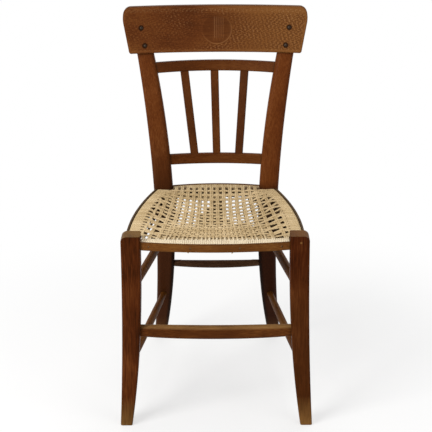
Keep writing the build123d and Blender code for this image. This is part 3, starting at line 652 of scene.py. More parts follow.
@dataclass
class WovenSeat:
    """The seat: warps from front to back, wefts from side to side, and wraps that fill the rails.

    Sizes are in millimetres. The plan is bounded by arcs, whose radii and centres follow the
    packed edge strips, and depth is measured back from the front legs.
    """

    # the cord, and the levels of its middle on and below the rails
    top: float = 444.5
    bottom: float = 429.1
    cord_width: float = 4.1
    cord_height: float = 2.7
    overlap: float = 0.5  # by how much cords side by side press into each other
    # the strips' outer faces in plan
    front_radius: float = 859.6
    front_middle: float = -8.5
    rear_radius: float = 420.4
    rear_middle: float = 409.5
    side_radius: float = 1017.6
    side_centre: Span = (-820.5, 53.5)
    # the turns round the rails
    wrap_outer: float = 5.75  # from a strip's outer face to the middle of a cord behind it
    wrap_inner: float = 31.1  # the same, to the middle of a cord on the rail's inner side
    wrap_corner: float = 4.0
    wrap_points: int = 24
    ring_points: int = 40
    wrap_slant: float = 0.15
    slant_start: float = 2.4  # the turns begin to slant this far behind the legs
    slant_length: float = 30.0  # and slant fully this much further back
    # the net's border and its sag
    border: float = 33.0
    edge_drop: float = 3.6
    edge_start: float = 32.0
    edge_end: float = 90.0
    dish: float = 5.0
    under_dish: float = 3.4
    # the warps
    first_warp: int = -9
    warp_places: tuple[Place, ...] = (
        (-121.5, -140.5, -163), (-110, -125.5, -142), (-96, -107, -123), (-82, -89, -103),
        (-68, -71, -83.5), (-53.5, -55, -64.5), (-39, -40, -44.5), (-25, -25, -25), (-11, -10, -8.5),
        (3, 5, 7.5), (18.5, 20.5, 25), (34, 36, 43), (49.5, 52.5, 62), (65.5, 70, 83.5),
        (80.5, 90, 104.5), (95, 110, 125), (110, 131.5, 152), (130, 150, 168),
    )  # where each warp passes at the rear row, halfway and at the front row
    front_share: float = 1.12  # how far those curves are followed, where the front row is at 1
    outer_pitch: float = 20.0  # between the columns outside the first and the last warp
    warp_points: int = 140
    return_points: int = 70
    warp_unevenness: float = 0.2
    tucks: Span = (285.0, 192.0)  # depth where the first and the last warp come out of the side turns
    tuck_length: float = 35.0
    tuck_inset: float = 28.0
    first_squeeze: float = 0.5  # how far the first warp's two cords ride up on each other
    leg_gap: float = 2.7
    leg_past: Span = (4.0, 36.0)  # between these distances behind a leg the warps get more room
    leg_room: float = 20.0
    split_depths: Span = (150.0, 105.0)  # the warps' pairs part between these depths
    split_across: Span = (118.0, 98.0)  # and stay together outside these places across
    split_widest: float = 9.0
    # the wefts
    hole_rows: tuple[float, ...] = (
        370.6, 348, 324, 292.7, 266.8, 242.7, 220, 199.7, 180.7, 161, 141, 125.5, 111.7, 97.3, 86, 73, 57, 42,
    )  # depths of the rows of holes, from the back to the front
    corner_rows: tuple[float, ...] = (37.0, 31.0)  # short rows that show only in the front corners
    corner_dive: Span = (150.0, 120.0)  # between these places across they go under the warps
    side_rows: tuple[float, ...] = (
        361.2, 350, 338.5, 328.5, 317, 302, 284.5, 265, 245.5, 224.5, 203, 185, 168, 151, 134.5, 118.5, 102,
        86, 68,
    )  # where each weft group reaches the side strips
    weft_points: int = 150
    weft_under: float = 22.0  # how far a weft is followed below its rail
    weft_unevenness: float = 0.3
    weft_waver: Span = (0.4, 38.0)  # about how far a weft wanders, and its wave's length over 2 pi
    pairing_shift: float = 4.0
    pairing_turn: Span = (195.0, 225.0)  # the shift changes its sign between these depths
    pairing_across: Span = (108.0, 124.0)  # and grows between these places across
    pairing_inset: float = 8.0  # and over this distance from the rail
    wide_groups: tuple[int, ...] = (1, 2)
    # the waves of the weave
    float_share: float = 0.34  # the height of the weave's waves over the cord's
    front_float: float = 0.5  # the same at the front
    float_depths: Span = (170.0, 70.0)  # it changes between these depths
    float_inset: Span = (29.0, 40.0)  # the waves start between these distances from the strips
    # the posts and legs, and what the turns leave free beside them
    post_front: float = 365.8
    post_inner: float = 105.7
    post_gap: float = 4.6  # from a post's front face forward to the middle of the warps that turn there
    leg_back: float = 39.0
    leg_inner: float = 162.5
    side_gap: float = 0.4  # between the last turn on a side rail and a leg or a post
    cross_gap: float = 0.3  # the same on the front and rear rails
    rail_inset: float = 20.0  # about how far a rail's middle lies inside its strip's outer face
    packing: float = 0.1  # the part of a turn that may be missing where one more is pressed into a gap
    side_dive: Span = (1.0, -4.0)  # warps dive under the side turns between these distances past the border
    inner_soft: Span = (4.0, 0.5)  # painted shade browns a turn between these distances before its inner side
    # the lower layer
    under_pitch: float = 4.5  # between the cords of the lower layer
    under_inset: Span = (4.0, 5.0)  # how far inside the front and the rear rail's turns they start and end
    under_unevenness: float = 0.5
    under_waver: Span = (0.8, 41.0)
    under_points: int = 26
    under_sides: int = 6
    sight: float = 18.0  # how far behind a hole the lower layer is seen through it
    openings: tuple[tuple[float, float, float, float], ...] = (
        (-94, -54, 138, 312), (-54, -39, 118, 308), (-39, -26, 216, 306), (-26, -12, 256, 306),
        (18, 34, 178, 332), (34, 50, 140, 332), (50, 84, 156, 334), (84, 100, 118, 290),
        (-157, -134, 70, 178), (-170, -143, 20, 75), (150, 172, 30, 60),
    )  # where no lower cord closes the holes: from and to, across and in depth
    shortest: float = 3.0  # a lower cord between two openings is at least this long
    covered: tuple[float, float, float, float] = (-104, 16, 321, 346)  # where they lie close under the net
    covered_rise: float = 4.6
    front_rise: float = 4.0
    front_depths: Span = (165.0, 105.0)  # the lower cords rise between these depths
    front_across: Span = (125.0, 105.0)  # as far out as this
    right_depths: Span = (95.0, 75.0)  # at the right, from right_across outwards, they rise later
    right_across: Span = (100.0, 112.0)
    middle_across: Span = (30.0, 20.0)  # they rise in a strip along the middle too
    middle_place: float = -2.0
    close_rise: float = 2.2  # how much further they rise under the first rows at the front
    close_depths: Span = (85.0, 60.0)
    # the painted shade on the lower cords
    under_shade: float = 0.75
    front_less_shade: float = 0.5  # how much less painted shade the lower cords have at the front
    middle_less_shade: float = 0.3  # and along the middle
    covered_less_shade: float = 0.75  # what part of their painted shade is missing in the covered field
    side_shade: float = 0.25  # how much more painted shade they have by the sides
    side_across: Span = (90.0, 105.0)
    # the painted shade below the net and inside the rails
    shade_share: float = 0.85
    shade_drop: Span = (3.0, 9.0)  # painted shade browns a cord between these depths below the top
    weft_shade: float = 0.4
    turn_shade: float = 0.6
    inner_shade: float = 0.8
    rear_shade: float = 0.9
    rear_inner: Span = (378.0, 375.5)  # painted shade browns the rear rail's turns between these depths, inwards
    # the cut ends
    loose: tuple[Place, ...] = ((-60.0, 3.5, 2.0), (38.0, 4.5, -2.0))  # place, length and lean of cut ends
    end_width: float = 2.6
    end_reach: float = 4.5  # how far forward a cut end comes
    end_bend: float = 1.3  # the angle through which it bends down
    end_start: Span = (1.5, 0.4)  # how far behind the front turns and below the rail it starts
    # painted shade on the cut ends
    end_shade: float = 0.1
    seed: int = 7

    def front_at(self, x: Array) -> Array:
        """Depth of the front strip's outer face: an arc, middle + R - sqrt(R^2 - x^2)."""
        return self.front_middle + self.front_radius - np.sqrt(self.front_radius**2 - x**2)

    def rear_at(self, x: Array) -> Array:
        """Depth of the rear strip's outer face: an arc, middle - R + sqrt(R^2 - x^2)."""
        return self.rear_middle - self.rear_radius + np.sqrt(self.rear_radius**2 - x**2)

    def side_at(self, depth: Array) -> Array:
        """Distance from the mid plane to a side strip's outer face: an arc round the side's centre."""
        return self.side_centre[0] + np.sqrt(self.side_radius**2 - (depth - self.side_centre[1]) ** 2)

    def inward(self, x: Array, depth: Array) -> Array:
        """Distance of a place from the nearest strip's outer face.

        Args:
            x: Places across.
            depth: Places from front to back.

        Returns:
            The distance, which is negative outside the strips.
        """
        side = self.side_at(depth) - np.abs(x)
        front = depth - self.front_at(np.clip(x, -self.leg_inner, self.leg_inner))
        rear = self.rear_at(np.clip(x, -self.post_inner, self.post_inner)) - depth
        return np.minimum(np.minimum(side, front), rear)

    def sag(self, x: Array, depth: Array, edge: float, dish: float) -> Array:
        """How far a layer of the net hangs below its level on the rails.

        It is edge e + dish (1 - u^2)(1 - v^2), where e is the smooth step from the nearest rail
        inwards, and u and v go from -1 to 1 between the rails.

        Args:
            x: Places across.
            depth: Places from front to back.
            edge: The drop inside the rails.
            dish: The hollow in the middle.

        Returns:
            The fall at each place.
        """
        step = smooth_step(self.edge_start, self.edge_end, self.inward(x, depth))
        u = np.clip(np.abs(x) / (self.side_at(depth) - self.edge_start), 0, 1)
        low, high = self.front_middle + self.edge_start, self.rear_middle - self.edge_start
        v = np.clip((2 * depth - low - high) / (high - low), -1, 1)
        return edge * step + dish * (1 - u**2) * (1 - v**2)

    def floats(self, x: Array, depth: Array) -> Array:
        """Height of the weave's waves: none on the rails, more in the close rows at the front.

        Args:
            x: Places across.
            depth: Places from front to back.

        Returns:
            The height at each place.
        """
        near_front = smooth_step(*self.float_depths, depth)
        share = self.float_share + (self.front_float - self.float_share) * near_front
        return self.cord_height * share * smooth_step(*self.float_inset, self.inward(x, depth))

    def warp_numbers(self) -> range:
        """Column numbers of the warps, from left to right."""
        return range(self.first_warp, self.first_warp + len(self.warp_places))

    def warp_x(self, number: Array, depth: Array) -> Array:
        """Place across of a warp: the parabola through its rear, middle and front places.

        Args:
            number: Column numbers, 0 in the middle.
            depth: Places from front to back.

        Returns:
            The place across.
        """
        first, last = self.hole_rows[0], self.hole_rows[-2]
        share = np.clip((first - depth) / (first - last), 0, self.front_share)
        index = number - self.first_warp
        known = np.clip(index, 0, len(self.warp_places) - 1)
        rear, middle, front = np.moveaxis(np.array(self.warp_places)[known], -1, 0)
        turn, bend = 4 * middle - 3 * rear - front, 2 * front + 2 * rear - 4 * middle
        return rear + share * turn + share**2 * bend + (index - known) * self.outer_pitch

    def split(self, x: Array, depth: Array) -> Array:
        """How far the pairs of warps have parted, from 0 for pairs to 1 for single ones near the front."""
        return smooth_step(*self.split_depths, depth) * smooth_step(*self.split_across, np.abs(x))

    def warp_line(self, number: int, half: float, depth: Array) -> Array:
        """Place across of one cord of a warp.

        The outermost warps come out from under the side turns, the pairs part near the front, and
        all stay clear of the legs.

        Args:
            number: The column number.
            half: -0.5 for the left cord and 0.5 for the right one.
            depth: Places from front to back.

        Returns:
            The place across.
        """
        x = self.warp_x(np.array(number), depth)
        pitch = (self.warp_x(np.array(number + 1), depth) - self.warp_x(np.array(number - 1), depth)) / 2
        numbers = self.warp_numbers()
        ends = (numbers[0], numbers[-1])
        if number in ends:
            tuck = self.tucks[ends.index(number)]
            tucked = np.sign(number) * (self.side_at(depth) - self.tuck_inset)
            x = x + (tucked - x) * smooth_step(tuck, tuck + self.tuck_length, depth)
        widest = np.clip(pitch / 2, 0, self.split_widest)
        apart = self.cord_width + (widest - self.cord_width) * self.split(x, depth)
        if number == self.first_warp:
            apart = apart * self.first_squeeze
        near, far = (self.leg_back + past for past in self.leg_past)
        limit = self.leg_inner - self.leg_gap + self.leg_room * smooth_step(near, far, depth)
        middle_limit = limit - self.cord_width / 2
        return np.clip(x, -middle_limit, middle_limit) + half * apart

    @staticmethod
    def rank(curves: Array, places: Array) -> Array:
        """Which curve passes a place, as a number that need not be whole: 2.5 is midway from 2 to 3.

        Args:
            curves: Curves by points, rising from curve to curve.
            places: A place for each point.

        Returns:
            The number for each point.
        """
        below = np.clip((curves <= places).sum(axis=0) - 1, 0, len(curves) - 2)
        point = np.arange(places.size)
        low, high = curves[below, point], curves[below + 1, point]
        return below + (places - low) / (high - low)

    def column_at(self, x: Array, depth: Array) -> Array:
        """The column number, not whole, at a place: the inverse of warp_x.

        Args:
            x: Places across.
            depth: Places from front to back.

        Returns:
            The number at each place.
        """
        numbers = np.arange(self.first_warp - 3, self.first_warp + len(self.warp_places) + 3)
        curves = self.warp_x(numbers[:, None], depth.ravel()[None, :])
        return (self.rank(curves, x.ravel()) + numbers[0]).reshape(x.shape)

    def row_at(self, x: Array, depth: Array) -> Array:
        """The weft group's number, not whole, at a place: the inverse of weft_depth.

        Args:
            x: Places across.
            depth: Places from front to back.

        Returns:
            The number at each place.
        """
        groups = self.group_depths()[: len(self.hole_rows) - 1]
        sides = np.array(self.side_rows[: len(groups)])
        curves = self.weft_depth(x[None, :], groups[:, None], sides[:, None])
        return len(groups) - 1 - self.rank(curves[::-1], depth)

    def group_depths(self) -> Array:
        """Middles of the weft groups, which lie between the rows of holes."""
        rows = np.array(self.hole_rows)
        return np.concatenate([(rows[1:] + rows[:-1]) / 2, self.corner_rows])

    def offsets(self, number: int) -> Array:
        """Places of a group's cords from its middle: two side by side, or three in a wide group."""
        count = 3 if number in self.wide_groups else 2
        return (np.arange(count) - (count - 1) / 2) * self.cord_width

    def batch(self, sides: int = 8) -> CordBatch:
        """An empty batch of this seat's cords, a little wider than they lie apart."""
        return CordBatch(self.cord_width + self.overlap, self.cord_height, sides)

    def slant(self, depth: Array) -> Array:
        """How far forward a turn goes for each step inwards: the turns stand square to the side rail."""
        return self.wrap_slant * np.clip((depth - self.leg_back - self.slant_start) / self.slant_length, 0, 1)

    def weft_depth(self, x: Array, middle: Array, side: Array) -> Array:
        """Depth along a weft: g + (s - g)(x / X)^2 over the net, then square to the side rail.

        Args:
            x: Places across.
            middle: The weft's depth g in the middle.
            side: Its depth at the side strip, from which s follows.

        Returns:
            The depth at each place.
        """
        inset = self.side_at(side) - np.abs(x)
        on_rail = side - self.slant(side) * (inset - self.wrap_outer)
        reach = self.side_at(side) - self.border
        joined = side - self.slant(side) * (self.border - self.wrap_outer)
        over_net = middle + (joined - middle) * (x / reach) ** 2
        return np.where(inset < self.border, on_rail, over_net)

    def pairing(self, number: int, x: Array, depth: Array) -> Array:
        """Shift of a weft group beside the rails, where two groups draw together and leave a wide slot.

        Args:
            number: The group's number.
            x: Places across.
            depth: Places from front to back.

        Returns:
            The shift in depth, with one sign in the rear half and the other in the front half.
        """
        into_net = self.side_at(depth) - np.abs(x) - self.border
        beside = smooth_step(*self.pairing_across, np.abs(x)) * smooth_step(0, self.pairing_inset, into_net)
        half = 2 * smooth_step(*self.pairing_turn, depth) - 1
        return self.pairing_shift * (-1) ** number * half * beside

    def wrap_path(self) -> tuple[Array, Array]:
        """Half a turn round a rail's outer side, from the top down to the bottom, with round corners.

        Returns:
            Distance from the strip's outer face, and height.
        """
        radius = self.wrap_corner
        third = self.wrap_points // 3
        turn = np.linspace(0, np.pi / 2, third)
        over = (self.wrap_outer + radius * (1 - np.sin(turn)), self.top - radius * (1 - np.cos(turn)))
        under = (over[0][::-1], self.bottom + radius * (1 - np.cos(turn[::-1])))
        middle = np.linspace(self.top - radius, self.bottom + radius, third + 2)[1:-1]
        inset = np.concatenate([over[0], np.full(len(middle), self.wrap_outer), under[0]])
        return inset, np.concatenate([over[1], middle, under[1]])

    def ring_path(self) -> tuple[Array, Array]:
        """A whole turn round a rail: a rectangle with round corners.

        Returns:
            Distance from the strip's outer face, and height.
        """
        radius = self.wrap_corner
        centre_in = (self.wrap_outer + self.wrap_inner) / 2
        half_in = (self.wrap_inner - self.wrap_outer) / 2 - radius
        centre_up = (self.top + self.bottom) / 2
        half_up = (self.top - self.bottom) / 2 - radius
        quarter = self.ring_points // 4
        angle = (np.arange(4)[:, None] * np.pi / 2 + np.linspace(0, np.pi / 2, quarter)[None, :]).ravel()
        sign_in = np.repeat([1, -1, -1, 1], quarter)
        sign_up = np.repeat([1, 1, -1, -1], quarter)
        inset = centre_in + sign_in * half_in + radius * np.cos(angle)
        height = centre_up + sign_up * half_up + radius * np.sin(angle)
        return inset, height

    def shade_below(self, height: Array) -> Array:
        """Painted shade on a cord at a height: none on top, more below the net and inside the rails."""
        unshaded_level, shaded_level = (self.top - drop for drop in self.shade_drop)
        return self.shade_share * smooth_step(unshaded_level, shaded_level, height)

    def build(self) -> list[bpy.types.Object]:
        """Weaves the seat.

        Returns:
            The wefts, the warps, the wraps, the lower layer and the loose ends.
        """
        rng = np.random.default_rng(self.seed)
        net = [self.wefts(rng), self.warps(rng)]
        return net + [self.wraps(rng), self.lower_layer(rng), self.loose_ends(rng)]

    def wefts(self, rng: np.random.Generator) -> bpy.types.Object:
        """Weaves the cords from side to side, in pairs and threes.

        Their height is the layer's, less the weave's wave (-1)^row times cos(pi column), which
        goes over to sin(2 pi column) where the pairs of warps have parted.

        Args:
            rng: The source of small unevenness.

        Returns:
            The piece.
        """
        batch = self.batch()
        inset, height = self.wrap_path()
        mirror = np.array([-1.0, 1.0, 1.0])
        regular = len(self.hole_rows) - 1
        spread, length = self.weft_waver
        for number, group in enumerate(self.group_depths()):
            offsets = self.offsets(number)
            count = len(offsets)
            middle = (group + offsets + rng.normal(0, self.weft_unevenness, count))[:, None]
            side = (self.side_rows[number] + offsets)[:, None]
            edge = self.side_at(side)
            reach = edge - self.wrap_outer - self.wrap_corner
            across = np.linspace(-1, 1, self.weft_points)[None, :] * reach
            wander = rng.normal(0, spread, (count, 1)) * np.sin(across / length + number)
            depth = self.weft_depth(across, middle, side) + wander
            depth = depth + self.pairing(number, across, depth)
            if number < regular:
                column = self.column_at(across, depth)
                split = self.split(across, depth)
                over_under = (1 - split) * np.cos(np.pi * column) + split * np.sin(2 * np.pi * column)
                lift = -self.floats(across, depth) * (-1) ** number * over_under
            else:
                lift = -self.cord_height * smooth_step(*self.corner_dive, np.abs(across))
            sag = self.sag(across, depth, self.edge_drop, self.dish)
            over = np.stack([across, depth, self.top - sag + lift], axis=-1)
            wrap_x = edge - inset[None, :]
            wrap_d = side - self.slant(side) * (inset[None, :] - self.wrap_outer)
            wrap_z = np.broadcast_to(height[None, :], wrap_x.shape)
            wrap = np.stack([wrap_x, wrap_d, wrap_z], axis=-1)[:, 1:-1]
            under_x = reach - np.linspace(0, self.weft_under, 8)[None, :]
            under_d = self.weft_depth(under_x, middle, side)
            under = np.stack([under_x, under_d, np.full(under_x.shape, self.bottom)], axis=-1)
            left = [part[:, ::-1] * mirror for part in (under, wrap)]
            path = np.concatenate([*left, over, wrap, under], axis=1)
            painted_shade = self.weft_shade * self.shade_below(path[..., 2] + sag.mean())
            batch.sweep(path, WIDE_BACK, False, rng.uniform(0, 1, count), painted_shade)
        return batch.piece("seat_wefts")

    def warps(self, rng: np.random.Generator) -> bpy.types.Object:
        """Weaves the cords from front to back, in pairs.

        Args:
            rng: The source of small unevenness.

        Returns:
            The piece.
        """
        batch = self.batch()
        for number in self.warp_numbers():
            for half in (-0.5, 0.5):
                path, level = self.warp_path(number, half, rng.normal(0, self.warp_unevenness))
                batch.sweep(path[None], WIDE_ACROSS, True, rng.uniform(0, 1, 1), self.shade_below(level)[None])
        return batch.piece("seat_warps")

    def warp_path(self, number: int, half: float, shift: float) -> tuple[Array, Array]:
        """The closed path of one cord of a warp: over the net, round the rear rail, back and round the front.

        Over the net its height is the layer's plus the weave's wave phase cos(pi row). The phase is
        (-1)^column for both cords of a pair, and each cord's own sign where they have parted.

        Args:
            number: The column number.
            half: -0.5 for the left cord and 0.5 for the right one.
            shift: How far it lies off its line.

        Returns:
            The points, and their heights without the sag of the net.
        """
        inset, height = self.wrap_path()
        rear_x = float(self.warp_line(number, half, np.array(self.rear_middle - self.rail_inset)))
        front_x = float(self.warp_line(number, half, np.array(0.0)))
        free = abs(rear_x) < self.post_inner - self.cord_width / 2 - self.side_gap
        before_post = self.post_front - self.post_gap + self.wrap_outer
        rear_end = self.rear_at(np.array(rear_x)) if free else before_post
        start = self.front_at(np.array(front_x)) + self.wrap_outer + self.wrap_corner
        end = rear_end - self.wrap_outer - self.wrap_corner
        depth = np.linspace(start, end, self.warp_points)
        x = self.warp_line(number, half, depth) + shift
        split = self.split(x, depth)
        phase = (1 - split) * (-1) ** number + split * np.sign(half)
        wave = self.floats(x, depth) * phase * np.cos(np.pi * self.row_at(x, depth))
        first, full = (self.border + past for past in self.side_dive)
        dive = smooth_step(first, full, self.side_at(depth) - np.abs(x))
        sag = self.sag(x, depth, self.edge_drop, self.dish)
        over = np.stack([x, depth, self.top - sag + (wave - self.cord_height * dive)], axis=-1)
        front_depth = self.front_at(np.array(x[0])) + inset
        front = np.stack([np.full(len(inset), x[0]), front_depth, height], axis=-1)[::-1][:-1]
        rear = np.stack([np.full(len(inset), x[-1]), rear_end - inset, height], axis=-1)[1:]
        back = np.linspace(end, start, self.return_points)[1:-1]
        under_x = np.interp(back, depth, x)
        under_z = self.bottom - self.sag(under_x, back, 0.0, self.under_dish)
        under = np.stack([under_x, back, under_z], axis=-1)
        path = np.concatenate([front, over, rear, under])
        level = np.concatenate([front[:, 2], over[:, 2] + sag, rear[:, 2], under_z])
        return path, level

    def wraps(self, rng: np.random.Generator) -> bpy.types.Object:
        """Winds the turns that fill the rails between the warps and between the wefts.

        Painted shade browns the turns below and on the rails' inner sides.

        Args:
            rng: The source of small unevenness.

        Returns:
            The piece.
        """
        batch = self.batch()
        inset, height = self.ring_path()
        first, full = (self.wrap_inner - before for before in self.inner_soft)
        inner = smooth_step(first, full, inset)
        painted_shade = np.maximum(self.shade_below(height) * self.turn_shade, inner * self.inner_shade)
        radius = self.cord_width / 2
        used = np.sort(np.concatenate([side + self.offsets(g) for g, side in enumerate(self.side_rows)]))
        low, high = self.leg_back + radius + self.side_gap, self.post_front - radius - self.side_gap
        sides = self.fillers(used, low, high)
        for mirror in (-1.0, 1.0):
            x = mirror * (self.side_at(sides)[:, None] - inset[None, :])
            depth = sides[:, None] - self.slant(sides)[:, None] * (inset[None, :] - self.wrap_outer)
            paths = np.stack([x, depth, np.broadcast_to(height, x.shape)], axis=-1)
            batch.sweep(paths, WIDE_BACK, True, rng.uniform(0, 1, len(sides)), painted_shade)
        front_rail = (self.front_at, self.leg_inner, 1.0, 0.0)
        rear_rail = (self.rear_at, self.post_inner, -1.0, self.rear_middle - self.rail_inset)
        for strip, limit, sign, place in (front_rail, rear_rail):
            cords = [(number, half) for number in self.warp_numbers() for half in (-0.5, 0.5)]
            used = np.sort([float(self.warp_line(*cord, np.array(place))) for cord in cords])
            used = used[np.abs(used) < limit - radius]
            fill = self.fillers(used, -limit + radius + self.cross_gap, limit - radius - self.cross_gap)
            depth = strip(fill)[:, None] + sign * inset[None, :]
            x = np.broadcast_to(fill[:, None], depth.shape)
            paths = np.stack([x, depth, np.broadcast_to(height, x.shape)], axis=-1)
            turn_shading = np.broadcast_to(painted_shade, x.shape)
            if sign < 0:
                turn_shading = np.maximum(turn_shading, self.rear_shade * smooth_step(*self.rear_inner, depth))
            batch.sweep(paths, WIDE_ACROSS, True, rng.uniform(0, 1, len(fill)), turn_shading)
        return batch.piece("rail_wraps")

    def fillers(self, used: Array, low: float, high: float) -> Array:
        """Places for turns in the gaps between cords already placed.

        Args:
            used: Middles of the cords already placed, in order.
            low: The first place allowed.
            high: The last place allowed.

        Returns:
            Middles of the new turns.
        """
        places = []
        marks = np.concatenate([[low - self.cord_width], used, [high + self.cord_width]])
        for near, far in zip(marks[:-1], marks[1:]):
            count = int(round((far - near) / self.cord_width + self.packing)) - 1
            if count > 0:
                places.append(near + (far - near) * np.arange(1, count + 1) / (count + 1))
        return np.concatenate(places)

    def loose_ends(self, rng: np.random.Generator) -> bpy.types.Object:
        """Lets two cut ends of cord peep out below the front strip, by two of its nails.

        Each comes forward by end_reach s and down by length sin(end_bend s), as s goes from 0 to 1.

        Args:
            rng: The source of small unevenness.

        Returns:
            The piece.
        """
        batch = CordBatch(self.end_width, self.end_width)
        painted_shade = np.array([[self.end_shade]])
        share = np.linspace(0, 1, 9)
        behind, below = self.end_start
        for middle, length, lean in self.loose:
            depth = float(self.front_at(np.array(middle))) + self.wrap_outer + behind
            x = middle + lean * share**2
            z = self.bottom - below - length * np.sin(share * self.end_bend)
            path = np.stack([x, depth - self.end_reach * share, z], axis=-1)
            batch.sweep(path[None], WIDE_BACK, False, rng.uniform(0, 1, 1), painted_shade)
        return batch.piece("loose_cord_ends")

    def lower_spans(self, depth: float) -> list[Span]:
        """The stretches of a lower cord between the openings on its way.

        Args:
            depth: The cord's depth.

        Returns:
            Where each stretch starts and ends across.
        """
        reach = float(self.side_at(np.array(depth))) - self.border - 1
        shut = [(low, high) for low, high, near, far in self.openings if near < depth - self.sight < far]
        marks = [-reach] + [mark for pair in sorted(shut) for mark in pair] + [reach]
        spans = [(max(low, -reach), min(high, reach)) for low, high in zip(marks[0::2], marks[1::2])]
        return [(low, high) for low, high in spans if high - low >= self.shortest]

    def lower_rise(self, x: Array, line: Array, depth: float) -> tuple[Array, Array]:
        """How far a lower cord lies above its layer, and how brown it is.

        The cords rise and have less painted shade in the covered field, at the front and along the
        middle, and more by the sides.

        Args:
            x: Places across.
            line: Places from front to back.
            depth: The cord's depth.

        Returns:
            The rise, and the painted shade from 0 to 1.
        """
        left, right, near, far = self.covered
        close = (near < depth < far) * smooth_step(left - 6, left, x) * smooth_step(right + 6, right, x)
        at_front = smooth_step(*self.front_depths, line) * smooth_step(*self.front_across, np.abs(x))
        at_right = smooth_step(*self.right_across, x) * smooth_step(*self.right_depths, line)
        front = np.maximum(at_front, at_right)
        middle = smooth_step(*self.middle_across, np.abs(x - self.middle_place))
        rise = np.maximum(self.covered_rise * close, self.front_rise * np.maximum(front, 0.7 * middle))
        rise = rise + self.close_rise * front * smooth_step(*self.close_depths, line)
        beside = smooth_step(*self.side_across, np.abs(x))
        painted_shade = self.under_shade - self.front_less_shade * front + self.side_shade * beside * (1 - front)
        painted_shade = painted_shade - self.middle_less_shade * middle * (1 - front)
        return rise, painted_shade * (1 - self.covered_less_shade * close)

    def lower_layer(self, rng: np.random.Generator) -> bpy.types.Object:
        """Lays the cords below the net, from side to side, which close its holes but for the openings.

        Args:
            rng: The source of small unevenness.

        Returns:
            The piece.
        """
        batch = self.batch(self.under_sides)
        share = np.linspace(0, 1, self.under_points)
        front = self.edge_start + self.under_inset[0]
        rear = self.rear_middle - self.wrap_inner - self.under_inset[1]
        height, length = self.under_waver
        for depth in np.arange(front, rear, self.under_pitch):
            for low, high in self.lower_spans(depth):
                x = low + (high - low) * share
                line = depth + rng.normal(0, self.under_unevenness) + height * np.sin(x / length + depth)
                z = self.bottom + self.cord_height - self.sag(x, line, 0.0, self.under_dish)
                rise, painted_shade = self.lower_rise(x, line, depth)
                path = np.stack([x, line, z + rise], axis=-1)
                batch.sweep(path[None], WIDE_BACK, False, rng.uniform(0, 1, 1), painted_shade[None])
        return batch.piece("lower_cords")


